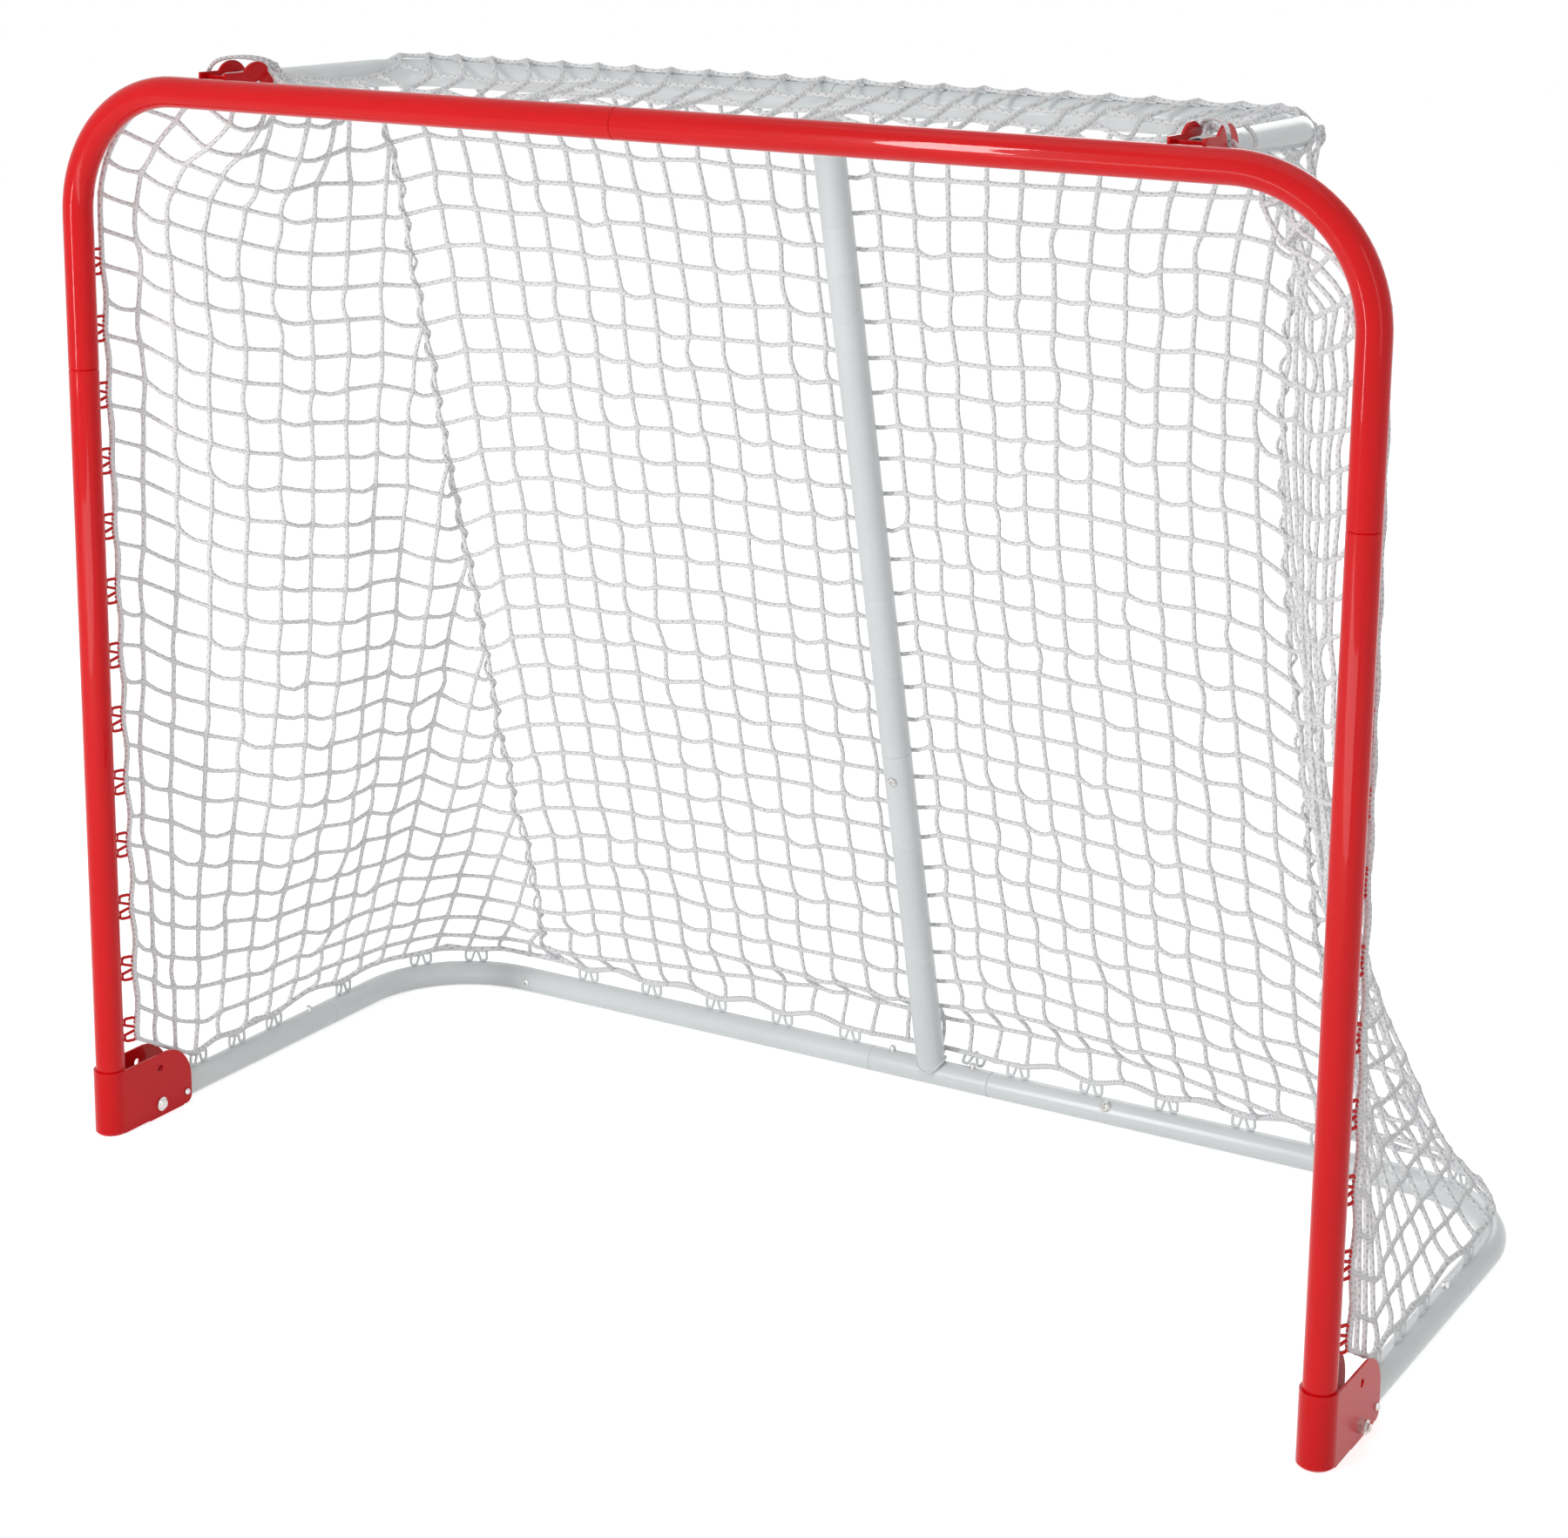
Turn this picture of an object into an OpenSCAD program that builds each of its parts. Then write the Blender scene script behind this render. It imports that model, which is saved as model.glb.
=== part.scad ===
// Youth hockey goal: a red tube front frame, a pale base frame that folds up on two
// foot brackets, a top shelf, a centre pole and a knotted twine net on welded wire hooks.
// Millimetres, +Z up. X runs along the crossbar and +Y runs to the back of the goal.

/* [Goal] */
// Distance between the axes of the two posts
post_spacing = 1350; // [1150:5:1700]
// Height of the crossbar's axis above the floor
bar_height = 1095; // [900:5:1320]
// Depth from the post axes to the axis of the rear tube
base_depth = 570; // [470:5:700]
// Bend radius of the front corners, at the tube's axis
front_bend = 127; // [100:1:155]
// Bend radius of the rear base corners, at the tube's axis
base_bend = 127; // [100:1:155]

/* [Tubes] */
// Outer diameter of the front frame's tubes
front_od = 30; // [25:0.5:36]
// Outer diameter of the base frame's tubes
base_od = 28; // [23:0.5:34]
// Outer diameter of the centre pole
pole_od = 32; // [26:0.5:39]
// Outer diameter of the shelf's tube
shelf_od = 28; // [23:0.5:34]
// Wall of every tube
tube_wall = 1.5; // [1.2:0.1:2]
// Wall of a swaged end
spigot_wall = 1.2; // [1:0.1:1.5]
// Length of a swaged end inside the next tube
spigot_len = 50; // [40:1:60]
// Radial clearance of a swaged end
spigot_gap = 0.1; // [0.05:0.05:0.3]
// Chamfer on the lips at each seam
lip = 1; // [0.6:0.1:1.2]

/* [Seams] */
// Distance of the posts' seams below the crossbar's axis
post_seam_drop = 281; // [234:1:340]
// Place of the seam in the crossbar, left of the middle
bar_seam = -37; // [-60:1:-30]
// Distance of the side tubes' seams ahead of the rear tube's axis
side_seam_back = 210; // [175:1:220]
// Half the length of the tee in the rear tube
tee_half = 73.5; // [62:0.5:90]
// Distance of the pole's seam from the tee's axis, along the pole
pole_seam = 403; // [330:1:490]

/* [Foot brackets] */
// Thickness of the bracket's sheet
sheet = 2.3; // [2:0.1:3]
// Clearance between the bracket's sleeve and the post
sleeve_gap = 0.2; // [0.1:0.05:0.4]
// Height of the bracket
foot_height = 70; // [62:1:84]
// Depth of the pivot bolt behind the post's axis
pivot_depth = 57; // [50:1:66]
// Distance from the pivot to each lock hole
lock_arm = 40; // [34:1:46]
// Sheet left behind the lock hole
foot_edge = 8; // [7:0.5:10]
// Radius of the bracket's large rear corner
foot_round = 40; // [30:1:45]
// Length of the side tube ahead of the pivot
tube_nose = 13; // [12:0.5:15]

/* [Bolts and buttons] */
// Diameter of the pivot bolts
pivot_d = 8; // [6:0.5:9]
// Diameter of the shelf bolts
shelf_bolt_d = 6; // [5:0.5:8]
// Running clearance of a bolt in what turns on it
running = 0.06; // [0.03:0.01:0.1]
// Diameter of a snap button
button_d = 7.3; // [6:0.1:8]
// Height of a snap button above its tube
button_rise = 6.5; // [5.5:0.1:7.5]
// How far a lock button stands out of the bracket
lock_rise = 3.9; // [3.5:0.1:5]
// Distance of each side button ahead of the side seam
button_back = 35; // [28:1:40]
// Distance of each tee button from the middle
tee_button = 50; // [40:1:54]

/* [Shelf] */
// Distance of each shelf arm from the middle
arm_x = 505; // [430:1:540]
// Depth of the shelf's rear bar
shelf_depth = 300; // [250:1:350]
// Height of the shelf's axis above the crossbar's axis
shelf_lift = 5; // [0:1:6]
// Bend radius of the shelf's corners
shelf_bend = 60; // [50:1:72]
// Depth of the shelf bolts behind the crossbar's axis
shelf_bolt = 54; // [50:1:60]
// Radius of the shelf bracket's round end
shelf_round = 24; // [22:1:27]
// Wall of the pole's pivot sleeve
sleeve_wall = 1.1; // [0.8:0.1:1.5]

/* [Net hooks] */
// Diameter of the hook wire
wire_d = 3; // [2.5:0.1:3.5]
// Length of a hook along its tube
hook_len = 28; // [24:1:32]
// Height of a hook's middle peak above its tube
hook_peak = 20; // [18:0.5:22]
// Height of the lowest post hook
hook_first = 109; // [100:1:120]
// Spacing of the post hooks
hook_pitch = 67.5; // [56:0.5:81]
// Turn of the lowest post hook from straight back towards +X, in degrees
hook_turn_low = 28; // [20:1:35]
// Turn of the highest post hook
hook_turn_high = 4; // [0:1:20]
// Spacing of the crossbar hooks
bar_hook_pitch = 88; // [75:1:100]
// Spacing of the rear hooks
rear_hook_pitch = 88; // [75:1:100]
// Place of the first rear hook beside the tee
rear_hook_first = 105; // [95:1:110]
// Spacing of the side tube hooks
side_hook_pitch = 63.5; // [53:0.5:66]
// Depth of the first side tube hook
side_hook_first = 137; // [130:1:145]

/* [Net] */
// Thickness of a net strand
strand = 5; // [3:0.5:6]
// Strand gaps across the rear panel
rear_cols = 10; // [6:2:10]
// Strand gaps down the rear panel
rear_rows = 11; // [8:1:11]
// Strand gaps along a side panel
side_cols = 6; // [6:1:6]
// Strand gaps down a side panel
side_rows = 12; // [8:1:12]

/* [Hidden] */
$fn = 64;

post_x = post_spacing / 2;
front_r = front_od / 2;
base_r = base_od / 2;
pole_r = pole_od / 2;
shelf_r = shelf_od / 2;
base_z = base_r;
post_seam = bar_height - post_seam_drop;
side_seam = base_depth - side_seam_back;
shelf_z = bar_height + shelf_lift;
wire = wire_d / 2;

// Foot bracket: half the gap between the cheeks, and the outer faces
cheek_in = max(front_r + sleeve_gap, base_r + 0.3);
cheek_out = cheek_in + sheet;
lock_y = pivot_depth + lock_arm;
foot_back = lock_y + foot_edge;

// Pole: from the tee's axis up to the shelf bar's axis
pole_run = base_depth - shelf_depth;
pole_rise = shelf_z - base_z;
pole_len = norm([pole_run, pole_rise]);
pole_lean = atan2(pole_run, pole_rise);
sleeve_r = shelf_r + running + sleeve_wall;

// The tee leaves the pole's foot along this line as the base folds up and the pole
// swings half as far: its angle is measured in the pole's own frame
fold_arm = base_depth - pivot_depth;
leave = atan2(fold_arm + pole_run / 2, pole_rise / 2) - pole_lean;
foot_gap = 0.4;
leave_gap = 1.2;

// The goal's own middle, for an origin under the middle of everything
y_front = -cheek_out;
y_rear = base_depth + (base_r + hook_peak) * sin(45) + wire * cos(45);
y_mid = (y_front + y_rear) / 2;

module place() {
    translate([0, -y_mid, 0]) children();
}

module side(s) {
    mirror([s < 0 ? 1 : 0, 0, 0]) children();
}

// ---- Tubes ----

// The front corner's path as a solid bar: up the post, round the bend, along the crossbar
module corner_bar(r, z0, x1) {
    translate([post_x, 0, z0]) cylinder(r = r, h = bar_height - front_bend - z0);
    translate([post_x - front_bend, 0, bar_height - front_bend])
        rotate([90, 0, 0])
            rotate_extrude(angle = 90)
                translate([front_bend, 0]) circle(r = r);
    translate([x1, 0, bar_height])
        rotate([0, 90, 0]) cylinder(r = r, h = post_x - front_bend - x1);
}

module corner_tube(x1, male) {
    inner = front_r - tube_wall;
    plug = inner - spigot_gap;
    bore = plug - spigot_wall;
    color("red") difference() {
        union() {
            corner_bar(front_r, post_seam + lip, x1 + lip);
            translate([post_x, 0, post_seam]) cylinder(r1 = front_r - lip, r2 = front_r, h = lip);
            translate([post_x, 0, post_seam - spigot_len]) cylinder(r = plug, h = spigot_len + 1);
            translate([x1, 0, bar_height]) rotate([0, 90, 0])
                cylinder(r1 = front_r - lip, r2 = front_r, h = lip);
            if (male) translate([x1 - spigot_len, 0, bar_height]) rotate([0, 90, 0])
                cylinder(r = plug, h = spigot_len + 1);
        }
        corner_bar(inner, post_seam + 3, male ? x1 + 3 : x1 - 1);
        translate([post_x, 0, post_seam - spigot_len - 1]) cylinder(r = bore, h = spigot_len + 6);
        if (male) translate([x1 - spigot_len - 1, 0, bar_height]) rotate([0, 90, 0])
            cylinder(r = bore, h = spigot_len + 6);
    }
}

module corner_tube_left() { side(-1) corner_tube(-bar_seam, true); }
module corner_tube_right() { corner_tube(bar_seam, false); }

module lower_post() {
    color("red") translate([post_x, 0, sheet]) difference() {
        union() {
            cylinder(r = front_r, h = post_seam - sheet - lip);
            translate([0, 0, post_seam - sheet - lip])
                cylinder(r1 = front_r, r2 = front_r - lip, h = lip);
        }
        translate([0, 0, -1]) cylinder(r = front_r - tube_wall, h = post_seam + 2);
    }
}

module lower_post_left() { side(-1) lower_post(); }
module lower_post_right() { lower_post(); }

// ---- Foot brackets ----

// A cross hole through the bracket at depth y and height z
module cross_hole(y, z, d) {
    translate([post_x - 60, y, z]) rotate([0, 90, 0]) cylinder(d = d, h = 120);
}

// The sleeve round the post and its two cheeks, seen from above
module foot_plan() {
    difference() {
        union() {
            circle(r = cheek_out);
            translate([-cheek_out, 0]) square([2 * cheek_out, foot_back]);
        }
        circle(r = cheek_in);
        translate([-cheek_in, 0]) square([2 * cheek_in, foot_back + 1]);
    }
}

// The cheek's outline, seen from the side
module foot_outline() {
    low = 1;
    translate([-cheek_out - 1, sheet]) square([cheek_out + 1, foot_height - sheet]);
    translate([0, low]) square([foot_back - foot_round, foot_height - low]);
    translate([foot_back - foot_round, foot_height - foot_round]) circle(r = foot_round);
    translate([0, low]) square([foot_back - foot_edge, foot_height - foot_round - low]);
    translate([foot_back - foot_edge, low + foot_edge]) circle(r = foot_edge);
    translate([foot_back - foot_edge - 1, low + foot_edge])
        square([foot_edge + 1, foot_height - foot_round - low - foot_edge]);
}

module foot_bracket() {
    color("red") difference() {
        union() {
            intersection() {
                translate([post_x, 0, 0]) linear_extrude(height = foot_height + 1) foot_plan();
                translate([post_x - 50, 0, 0]) rotate([90, 0, 90])
                    linear_extrude(height = 100) foot_outline();
            }
            translate([post_x, 0, 0]) cylinder(r1 = cheek_out - sheet, r2 = cheek_out, h = sheet);
        }
        cross_hole(pivot_depth, base_z, pivot_d + 2 * running);
        cross_hole(lock_y, base_z, button_d + 0.7);
        cross_hole(pivot_depth, base_z + lock_arm, button_d + 0.7);
    }
}

module foot_bracket_left() { side(-1) foot_bracket(); }
module foot_bracket_right() { foot_bracket(); }

// A round-headed bolt along +X: the head ends at x = 0 and the nut seats at x = grip
module bolt(d, grip) {
    head_r = d * 0.94;
    head_h = d * 0.56;
    translate([-head_h * 0.4, 0, 0]) rotate([0, 90, 0]) cylinder(r = head_r, h = head_h * 0.4);
    translate([-head_h, 0, 0]) rotate([0, 90, 0])
        cylinder(r1 = head_r * 0.6, r2 = head_r, h = head_h * 0.6);
    translate([-0.5, 0, 0]) rotate([0, 90, 0]) cylinder(d = d, h = grip + d * 0.8 + 3.5);
}

module nut(d, grip) {
    translate([grip, 0, 0]) rotate([0, 90, 0]) difference() {
        cylinder(r = d * 0.94, h = d * 0.8, $fn = 6);
        translate([0, 0, -1]) cylinder(d = d + 2 * running, h = d * 0.8 + 2);
    }
}

module pivot_bolts() {
    color("silver") for (s = [-1, 1]) side(s)
        translate([post_x - cheek_out, pivot_depth, base_z]) bolt(pivot_d, 2 * cheek_out);
}

module pivot_nuts() {
    color("silver") for (s = [-1, 1]) side(s)
        translate([post_x - cheek_out, pivot_depth, base_z]) nut(pivot_d, 2 * cheek_out);
}

// ---- Top shelf ----

shelf_in = shelf_r + 0.3;
shelf_out = shelf_in + sheet;

// Two cheeks coped round the back of the crossbar, joined by a web
module shelf_bracket() {
    color("red") difference() {
        union() {
            for (x = [-shelf_out, shelf_in]) translate([arm_x + x, 0, 0]) rotate([90, 0, 90])
                linear_extrude(height = sheet) {
                    translate([shelf_bolt, shelf_z]) circle(r = shelf_round);
                    translate([front_r * 0.5, shelf_z - 17])
                        square([shelf_bolt - front_r * 0.5, 32]);
                }
            translate([arm_x - shelf_in - 1, front_r + 1, shelf_z - 12])
                cube([2 * shelf_in + 2, sheet, 24]);
        }
        translate([arm_x - 60, 0, bar_height]) rotate([0, 90, 0])
            cylinder(r = front_r + 0.15, h = 120);
        translate([arm_x - 60, shelf_bolt, shelf_z]) rotate([0, 90, 0])
            cylinder(d = shelf_bolt_d + 2 * running, h = 120);
    }
}

module shelf_bracket_left() { side(-1) shelf_bracket(); }
module shelf_bracket_right() { shelf_bracket(); }

// The shelf's path as a solid bar: one arm, a bend, the rear bar, a bend, the other arm
module shelf_bar(r, y0) {
    for (s = [-1, 1]) side(s) {
        translate([arm_x, y0, shelf_z]) rotate([-90, 0, 0])
            cylinder(r = r, h = shelf_depth - shelf_bend - y0);
        translate([arm_x - shelf_bend, shelf_depth - shelf_bend, shelf_z])
            rotate_extrude(angle = 90) translate([shelf_bend, 0]) circle(r = r);
    }
    translate([-arm_x + shelf_bend, shelf_depth, shelf_z])
        rotate([0, 90, 0]) cylinder(r = r, h = 2 * (arm_x - shelf_bend));
}

module shelf_tube() {
    nose = shelf_bolt - 22;
    color("whitesmoke") difference() {
        shelf_bar(shelf_r, nose);
        shelf_bar(shelf_r - tube_wall, nose - 1);
        for (s = [-1, 1]) side(s) translate([arm_x - 60, shelf_bolt, shelf_z])
            rotate([0, 90, 0]) cylinder(d = shelf_bolt_d + 2 * running, h = 120);
    }
}

module shelf_bolts() {
    color("silver") for (s = [-1, 1]) side(s)
        translate([arm_x - shelf_out, shelf_bolt, shelf_z]) bolt(shelf_bolt_d, 2 * shelf_out);
}

module shelf_nuts() {
    color("silver") for (s = [-1, 1]) side(s)
        translate([arm_x - shelf_out, shelf_bolt, shelf_z]) nut(shelf_bolt_d, 2 * shelf_out);
}

// ---- Net hooks ----

// A run of wire through the points p, seen from the side
module wire_run(p) {
    for (k = [0 : len(p) - 1]) translate(p[k]) circle(r = wire);
    for (k = [1 : len(p) - 1]) translate(p[k - 1])
        rotate(atan2(p[k][1] - p[k - 1][1], p[k][0] - p[k - 1][0]))
            translate([0, -wire]) square([norm(p[k] - p[k - 1]), 2 * wire]);
}

// One welded wire hook. It stands on a tube of radius r whose axis is local X and
// points along local Z: a rail, two legs with in-turned curls, and a middle peak.
module hook(r) {
    half = hook_len / 2 - wire;
    leg = 9;
    curl = 3.4;
    base = 5.5;
    foot = r + wire + 0.1;
    tip = r + hook_peak - wire;
    outline = concat([[base, foot], [half, foot]],
        [for (a = [0 : 70 : 140]) [half - curl + curl * cos(a), foot + leg + curl * sin(a)]]);
    rotate([90, 0, 0]) linear_extrude(height = wire_d, center = true) {
        for (m = [-1, 1]) wire_run([for (q = outline) [m * q[0], q[1]]]);
        wire_run([[-base, foot], [0, tip], [base, foot], [-base, foot]]);
    }
}

post_hooks = floor((bar_height - front_bend - hook_first - hook_len / 2) / hook_pitch);
bar_hooks = floor((arm_x - shelf_out - hook_len) / bar_hook_pitch);
rear_hooks = floor((post_x - base_bend - rear_hook_first - hook_len / 2) / rear_hook_pitch);
side_hooks = floor((side_seam - button_back - hook_len / 2 - 5 - side_hook_first) / side_hook_pitch);

// Way that a post hook at height z points, counted from +X
function hook_aim(z) = 90 - lerp(hook_turn_low, hook_turn_high,
    min(1, max(0, (z - hook_first) / (post_hooks * hook_pitch))));

// Both posts carry the same part, so their hooks point the same way
module post_hook_row(x) {
    color("red") for (k = [0 : post_hooks])
        translate([x, 0, hook_first + k * hook_pitch])
            rotate([0, 0, hook_aim(hook_first + k * hook_pitch)])
                rotate([0, 90, 0]) hook(front_r);
}

module post_hooks_left() { post_hook_row(-post_x); }
module post_hooks_right() { post_hook_row(post_x); }

module crossbar_hooks() {
    color("red") for (k = [-bar_hooks : bar_hooks])
        translate([k * bar_hook_pitch, 0, bar_height]) rotate([-90, 0, 0]) hook(front_r);
}

module base_hooks() {
    color("whitesmoke") {
        for (k = [0 : side_hooks])
            translate([post_x, side_hook_first + k * side_hook_pitch, base_z])
                rotate([0, 0, 90]) hook(base_r);
        translate([post_x, side_seam + hook_len, base_z]) rotate([0, 0, 90]) hook(base_r);
        for (a = [32, 62])
            translate([post_x - base_bend * (1 - cos(a)), base_depth - base_bend * (1 - sin(a)),
                base_z]) rotate([0, 0, 90 + a]) hook(base_r);
        for (k = [0 : rear_hooks])
            translate([rear_hook_first + k * rear_hook_pitch, base_depth, base_z]) hook(base_r);
    }
}

module base_hooks_left() { side(-1) base_hooks(); }
module base_hooks_right() { base_hooks(); }

module tee_hooks() {
    color("whitesmoke") for (x = [-8, 43])
        translate([x, base_depth, base_z]) rotate([-45, 0, 0]) hook(base_r);
}

// ---- Base frame ----

base_in = base_r - tube_wall;
base_plug = base_in - spigot_gap;
base_bore = base_plug - spigot_wall;
button_hole = button_d + 0.2;

module side_tube() {
    nose = pivot_depth - tube_nose;
    color("whitesmoke") difference() {
        union() {
            translate([post_x, nose, base_z]) rotate([-90, 0, 0])
                cylinder(r = base_r, h = side_seam - nose - lip);
            translate([post_x, side_seam - lip, base_z]) rotate([-90, 0, 0])
                cylinder(r1 = base_r, r2 = base_r - lip, h = lip);
        }
        translate([post_x, nose - 1, base_z]) rotate([-90, 0, 0])
            cylinder(r = base_in, h = side_seam - nose + 2);
        cross_hole(pivot_depth, base_z, pivot_d + 2 * running);
        cross_hole(lock_y, base_z, button_hole);
        translate([post_x, side_seam - button_back, base_z]) cylinder(d = button_hole, h = 60);
    }
}

module side_tube_left() { side(-1) side_tube(); }
module side_tube_right() { side_tube(); }

// The rear corner's path as a solid bar: back along the side, round, and in to the tee
module rear_bar(r, y0, x1) {
    translate([post_x, y0, base_z]) rotate([-90, 0, 0])
        cylinder(r = r, h = base_depth - base_bend - y0);
    translate([post_x - base_bend, base_depth - base_bend, base_z])
        rotate_extrude(angle = 90) translate([base_bend, 0]) circle(r = r);
    translate([x1, base_depth, base_z]) rotate([0, 90, 0])
        cylinder(r = r, h = post_x - base_bend - x1);
}

module rear_corner(screw_x, screw_turn, screw_d) {
    color("whitesmoke") difference() {
        union() {
            rear_bar(base_r, side_seam + lip, tee_half + lip);
            translate([post_x, side_seam, base_z]) rotate([-90, 0, 0])
                cylinder(r1 = base_r - lip, r2 = base_r, h = lip);
            translate([tee_half, base_depth, base_z]) rotate([0, 90, 0])
                cylinder(r1 = base_r - lip, r2 = base_r, h = lip);
            translate([post_x, side_seam - spigot_len, base_z]) rotate([-90, 0, 0])
                cylinder(r = base_plug, h = spigot_len + 1);
            translate([tee_half - spigot_len, base_depth, base_z]) rotate([0, 90, 0])
                cylinder(r = base_plug, h = spigot_len + 1);
        }
        rear_bar(base_in, side_seam + 3, tee_half + 3);
        translate([post_x, side_seam - spigot_len - 1, base_z]) rotate([-90, 0, 0])
            cylinder(r = base_bore, h = spigot_len + 6);
        translate([tee_half - spigot_len - 1, base_depth, base_z]) rotate([0, 90, 0])
            cylinder(r = base_bore, h = spigot_len + 6);
        translate([post_x, side_seam - button_back, base_z]) cylinder(d = button_hole, h = 60);
        translate([tee_button, base_depth, base_z]) cylinder(d = button_hole, h = 60);
        translate([screw_x, base_depth, base_z]) rotate([90 - screw_turn, 0, 0])
            cylinder(d = screw_d, h = 60);
    }
}

rear_screw_d = 4;
left_screw_x = 537;
right_screw_x = 215;
right_screw_turn = 40;

module rear_corner_left() { side(-1) rear_corner(left_screw_x, 0, rear_screw_d + 0.2); }
module rear_corner_right() { rear_corner(right_screw_x, right_screw_turn, rear_screw_d + 0.2); }

module rear_tee() {
    color("whitesmoke") translate([0, base_depth, base_z]) difference() {
        union() {
            translate([-tee_half + lip, 0, 0]) rotate([0, 90, 0])
                cylinder(r = base_r, h = 2 * tee_half - 2 * lip);
            for (m = [0, 1]) mirror([m, 0, 0]) translate([tee_half - lip, 0, 0])
                rotate([0, 90, 0]) cylinder(r1 = base_r, r2 = base_r - lip, h = lip);
        }
        translate([-tee_half - 1, 0, 0]) rotate([0, 90, 0])
            cylinder(r = base_in, h = 2 * tee_half + 2);
        for (x = [-tee_button, tee_button]) translate([x, 0, 0]) cylinder(d = button_hole, h = 60);
    }
}

// A cross-recess screw: its head seats at z = 0 and it points down local Z
module screw(d, head_d, head_h, grip) {
    difference() {
        union() {
            cylinder(d = head_d, h = head_h * 0.5);
            translate([0, 0, head_h * 0.5]) cylinder(d1 = head_d, d2 = head_d * 0.7, h = head_h * 0.5);
            translate([0, 0, -grip]) cylinder(d = d, h = grip + 0.5);
        }
        for (a = [0, 90]) rotate([0, 0, a]) translate([-head_d * 0.25, -head_d * 0.05, head_h * 0.45])
            cube([head_d * 0.5, head_d * 0.1, head_h]);
    }
}

module rear_screw_left() {
    color("silver") side(-1) translate([left_screw_x, base_depth, base_z])
        rotate([90, 0, 0]) translate([0, 0, base_r + 0.1]) screw(rear_screw_d, 9, 1.6, 6);
}

module rear_screw_right() {
    color("silver") translate([right_screw_x, base_depth, base_z])
        rotate([90 - right_screw_turn, 0, 0]) translate([0, 0, base_r + 0.1])
            screw(rear_screw_d, 12, 3, 6);
}

// ---- Snap buttons ----

stud_r = button_d / 2;
flange_r = stud_r + 0.9;
flange_h = 1.2;
spring_t = 0.8;
spring_w = 7;

// Distance from a tube's axis to the seat of a stud's flange inside a bore of radius b
function flange_seat(b) = sqrt(b * b - flange_r * flange_r) - 0.3;

// A round-topped stud along +Z from its flange's seat up to its top
module stud(seat, top) {
    translate([0, 0, seat - flange_h]) cylinder(r = flange_r, h = flange_h);
    translate([0, 0, seat - 0.5]) cylinder(r = stud_r, h = top - stud_r - seat + 0.5);
    translate([0, 0, top - stud_r]) sphere(r = stud_r);
}

module top_stud() {
    color("silver") stud(flange_seat(base_bore), base_r + button_rise);
}

// A stud that stands sideways through a cheek of the foot bracket
module lock_stud(s, way) {
    color("silver") side(s) translate([post_x, lock_y, base_z]) rotate([0, way * 90, 0])
        stud(flange_seat(base_in), cheek_out + lock_rise);
}

module tee_button_left() { translate([-tee_button, base_depth, base_z]) top_stud(); }
module tee_button_right() { translate([tee_button, base_depth, base_z]) top_stud(); }
module side_button_left() {
    side(-1) translate([post_x, side_seam - button_back, base_z]) top_stud();
}
module side_button_right() { translate([post_x, side_seam - button_back, base_z]) top_stud(); }
module lock_button_left_inner() { lock_stud(-1, -1); }
module lock_button_left_outer() { lock_stud(-1, 1); }
module lock_button_right_inner() { lock_stud(1, -1); }
module lock_button_right_outer() { lock_stud(1, 1); }

// A bent leaf spring along +X: one leaf under the stud, a round fold, one leaf on the
// far wall. hi and lo are the outer faces of its two leaves, measured from the axis.
module leaf_spring(hi, lo, reach) {
    mid = (hi + lo) / 2;
    out = (hi - lo) / 2;
    rotate([90, 0, 0]) translate([0, 0, -spring_w / 2]) linear_extrude(height = spring_w) {
        translate([-5, hi - spring_t]) square([reach + 5, spring_t]);
        translate([-5, lo]) square([reach + 5, spring_t]);
        translate([reach, mid]) difference() {
            circle(r = out);
            circle(r = out - spring_t);
            translate([-out - 1, -out - 1]) square([out + 1, 2 * out + 2]);
        }
    }
}

module snap_springs() {
    top_hi = flange_seat(base_bore) - flange_h - 0.1;
    top_lo = -sqrt(base_bore * base_bore - spring_w * spring_w / 4) + 0.3;
    lock_hi = flange_seat(base_in) - flange_h - 0.1;
    color("gray") for (s = [-1, 1]) side(s) {
        translate([tee_button, base_depth, base_z]) rotate([0, 0, 180])
            leaf_spring(top_hi, top_lo, 18 - flange_r);
        translate([post_x, side_seam - button_back, base_z]) rotate([0, 0, 90])
            leaf_spring(top_hi, top_lo, 24);
        translate([post_x, lock_y, base_z]) rotate([0, 0, 90]) rotate([90, 0, 0])
            leaf_spring(lock_hi, -lock_hi, 24);
    }
}

// ---- Centre pole ----

// The pole's own frame: origin on the tee's axis, local Z up the pole, local Y rearward
module along_pole() {
    translate([0, base_depth, base_z]) rotate([pole_lean, 0, 0]) children();
}

pole_in = pole_r - tube_wall;
pole_plug = pole_in - spigot_gap;
pole_bore = pole_plug - spigot_wall;
pole_screw_back = 28;
pole_screw_d = 4;

module pole_lower() {
    color("whitesmoke") along_pole() difference() {
        union() {
            cylinder(r = pole_r, h = pole_seam - lip);
            translate([0, 0, pole_seam - lip]) cylinder(r1 = pole_r, r2 = pole_r - lip, h = lip);
        }
        translate([0, 0, -1]) cylinder(r = pole_in, h = pole_seam + 2);
        translate([-50, -50, -50]) cube([100, 100, 52]);
        translate([-50, 0, 0]) rotate([0, 90, 0]) cylinder(r = base_r + foot_gap, h = 100);
        rotate([leave, 0, 0]) translate([-50, 0, -80])
            cube([100, 90, 80 + base_r + leave_gap]);
        translate([0, 0, pole_seam - pole_screw_back]) rotate([90, 0, 0])
            cylinder(d = pole_screw_d + 0.2, h = 60);
    }
}

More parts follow.
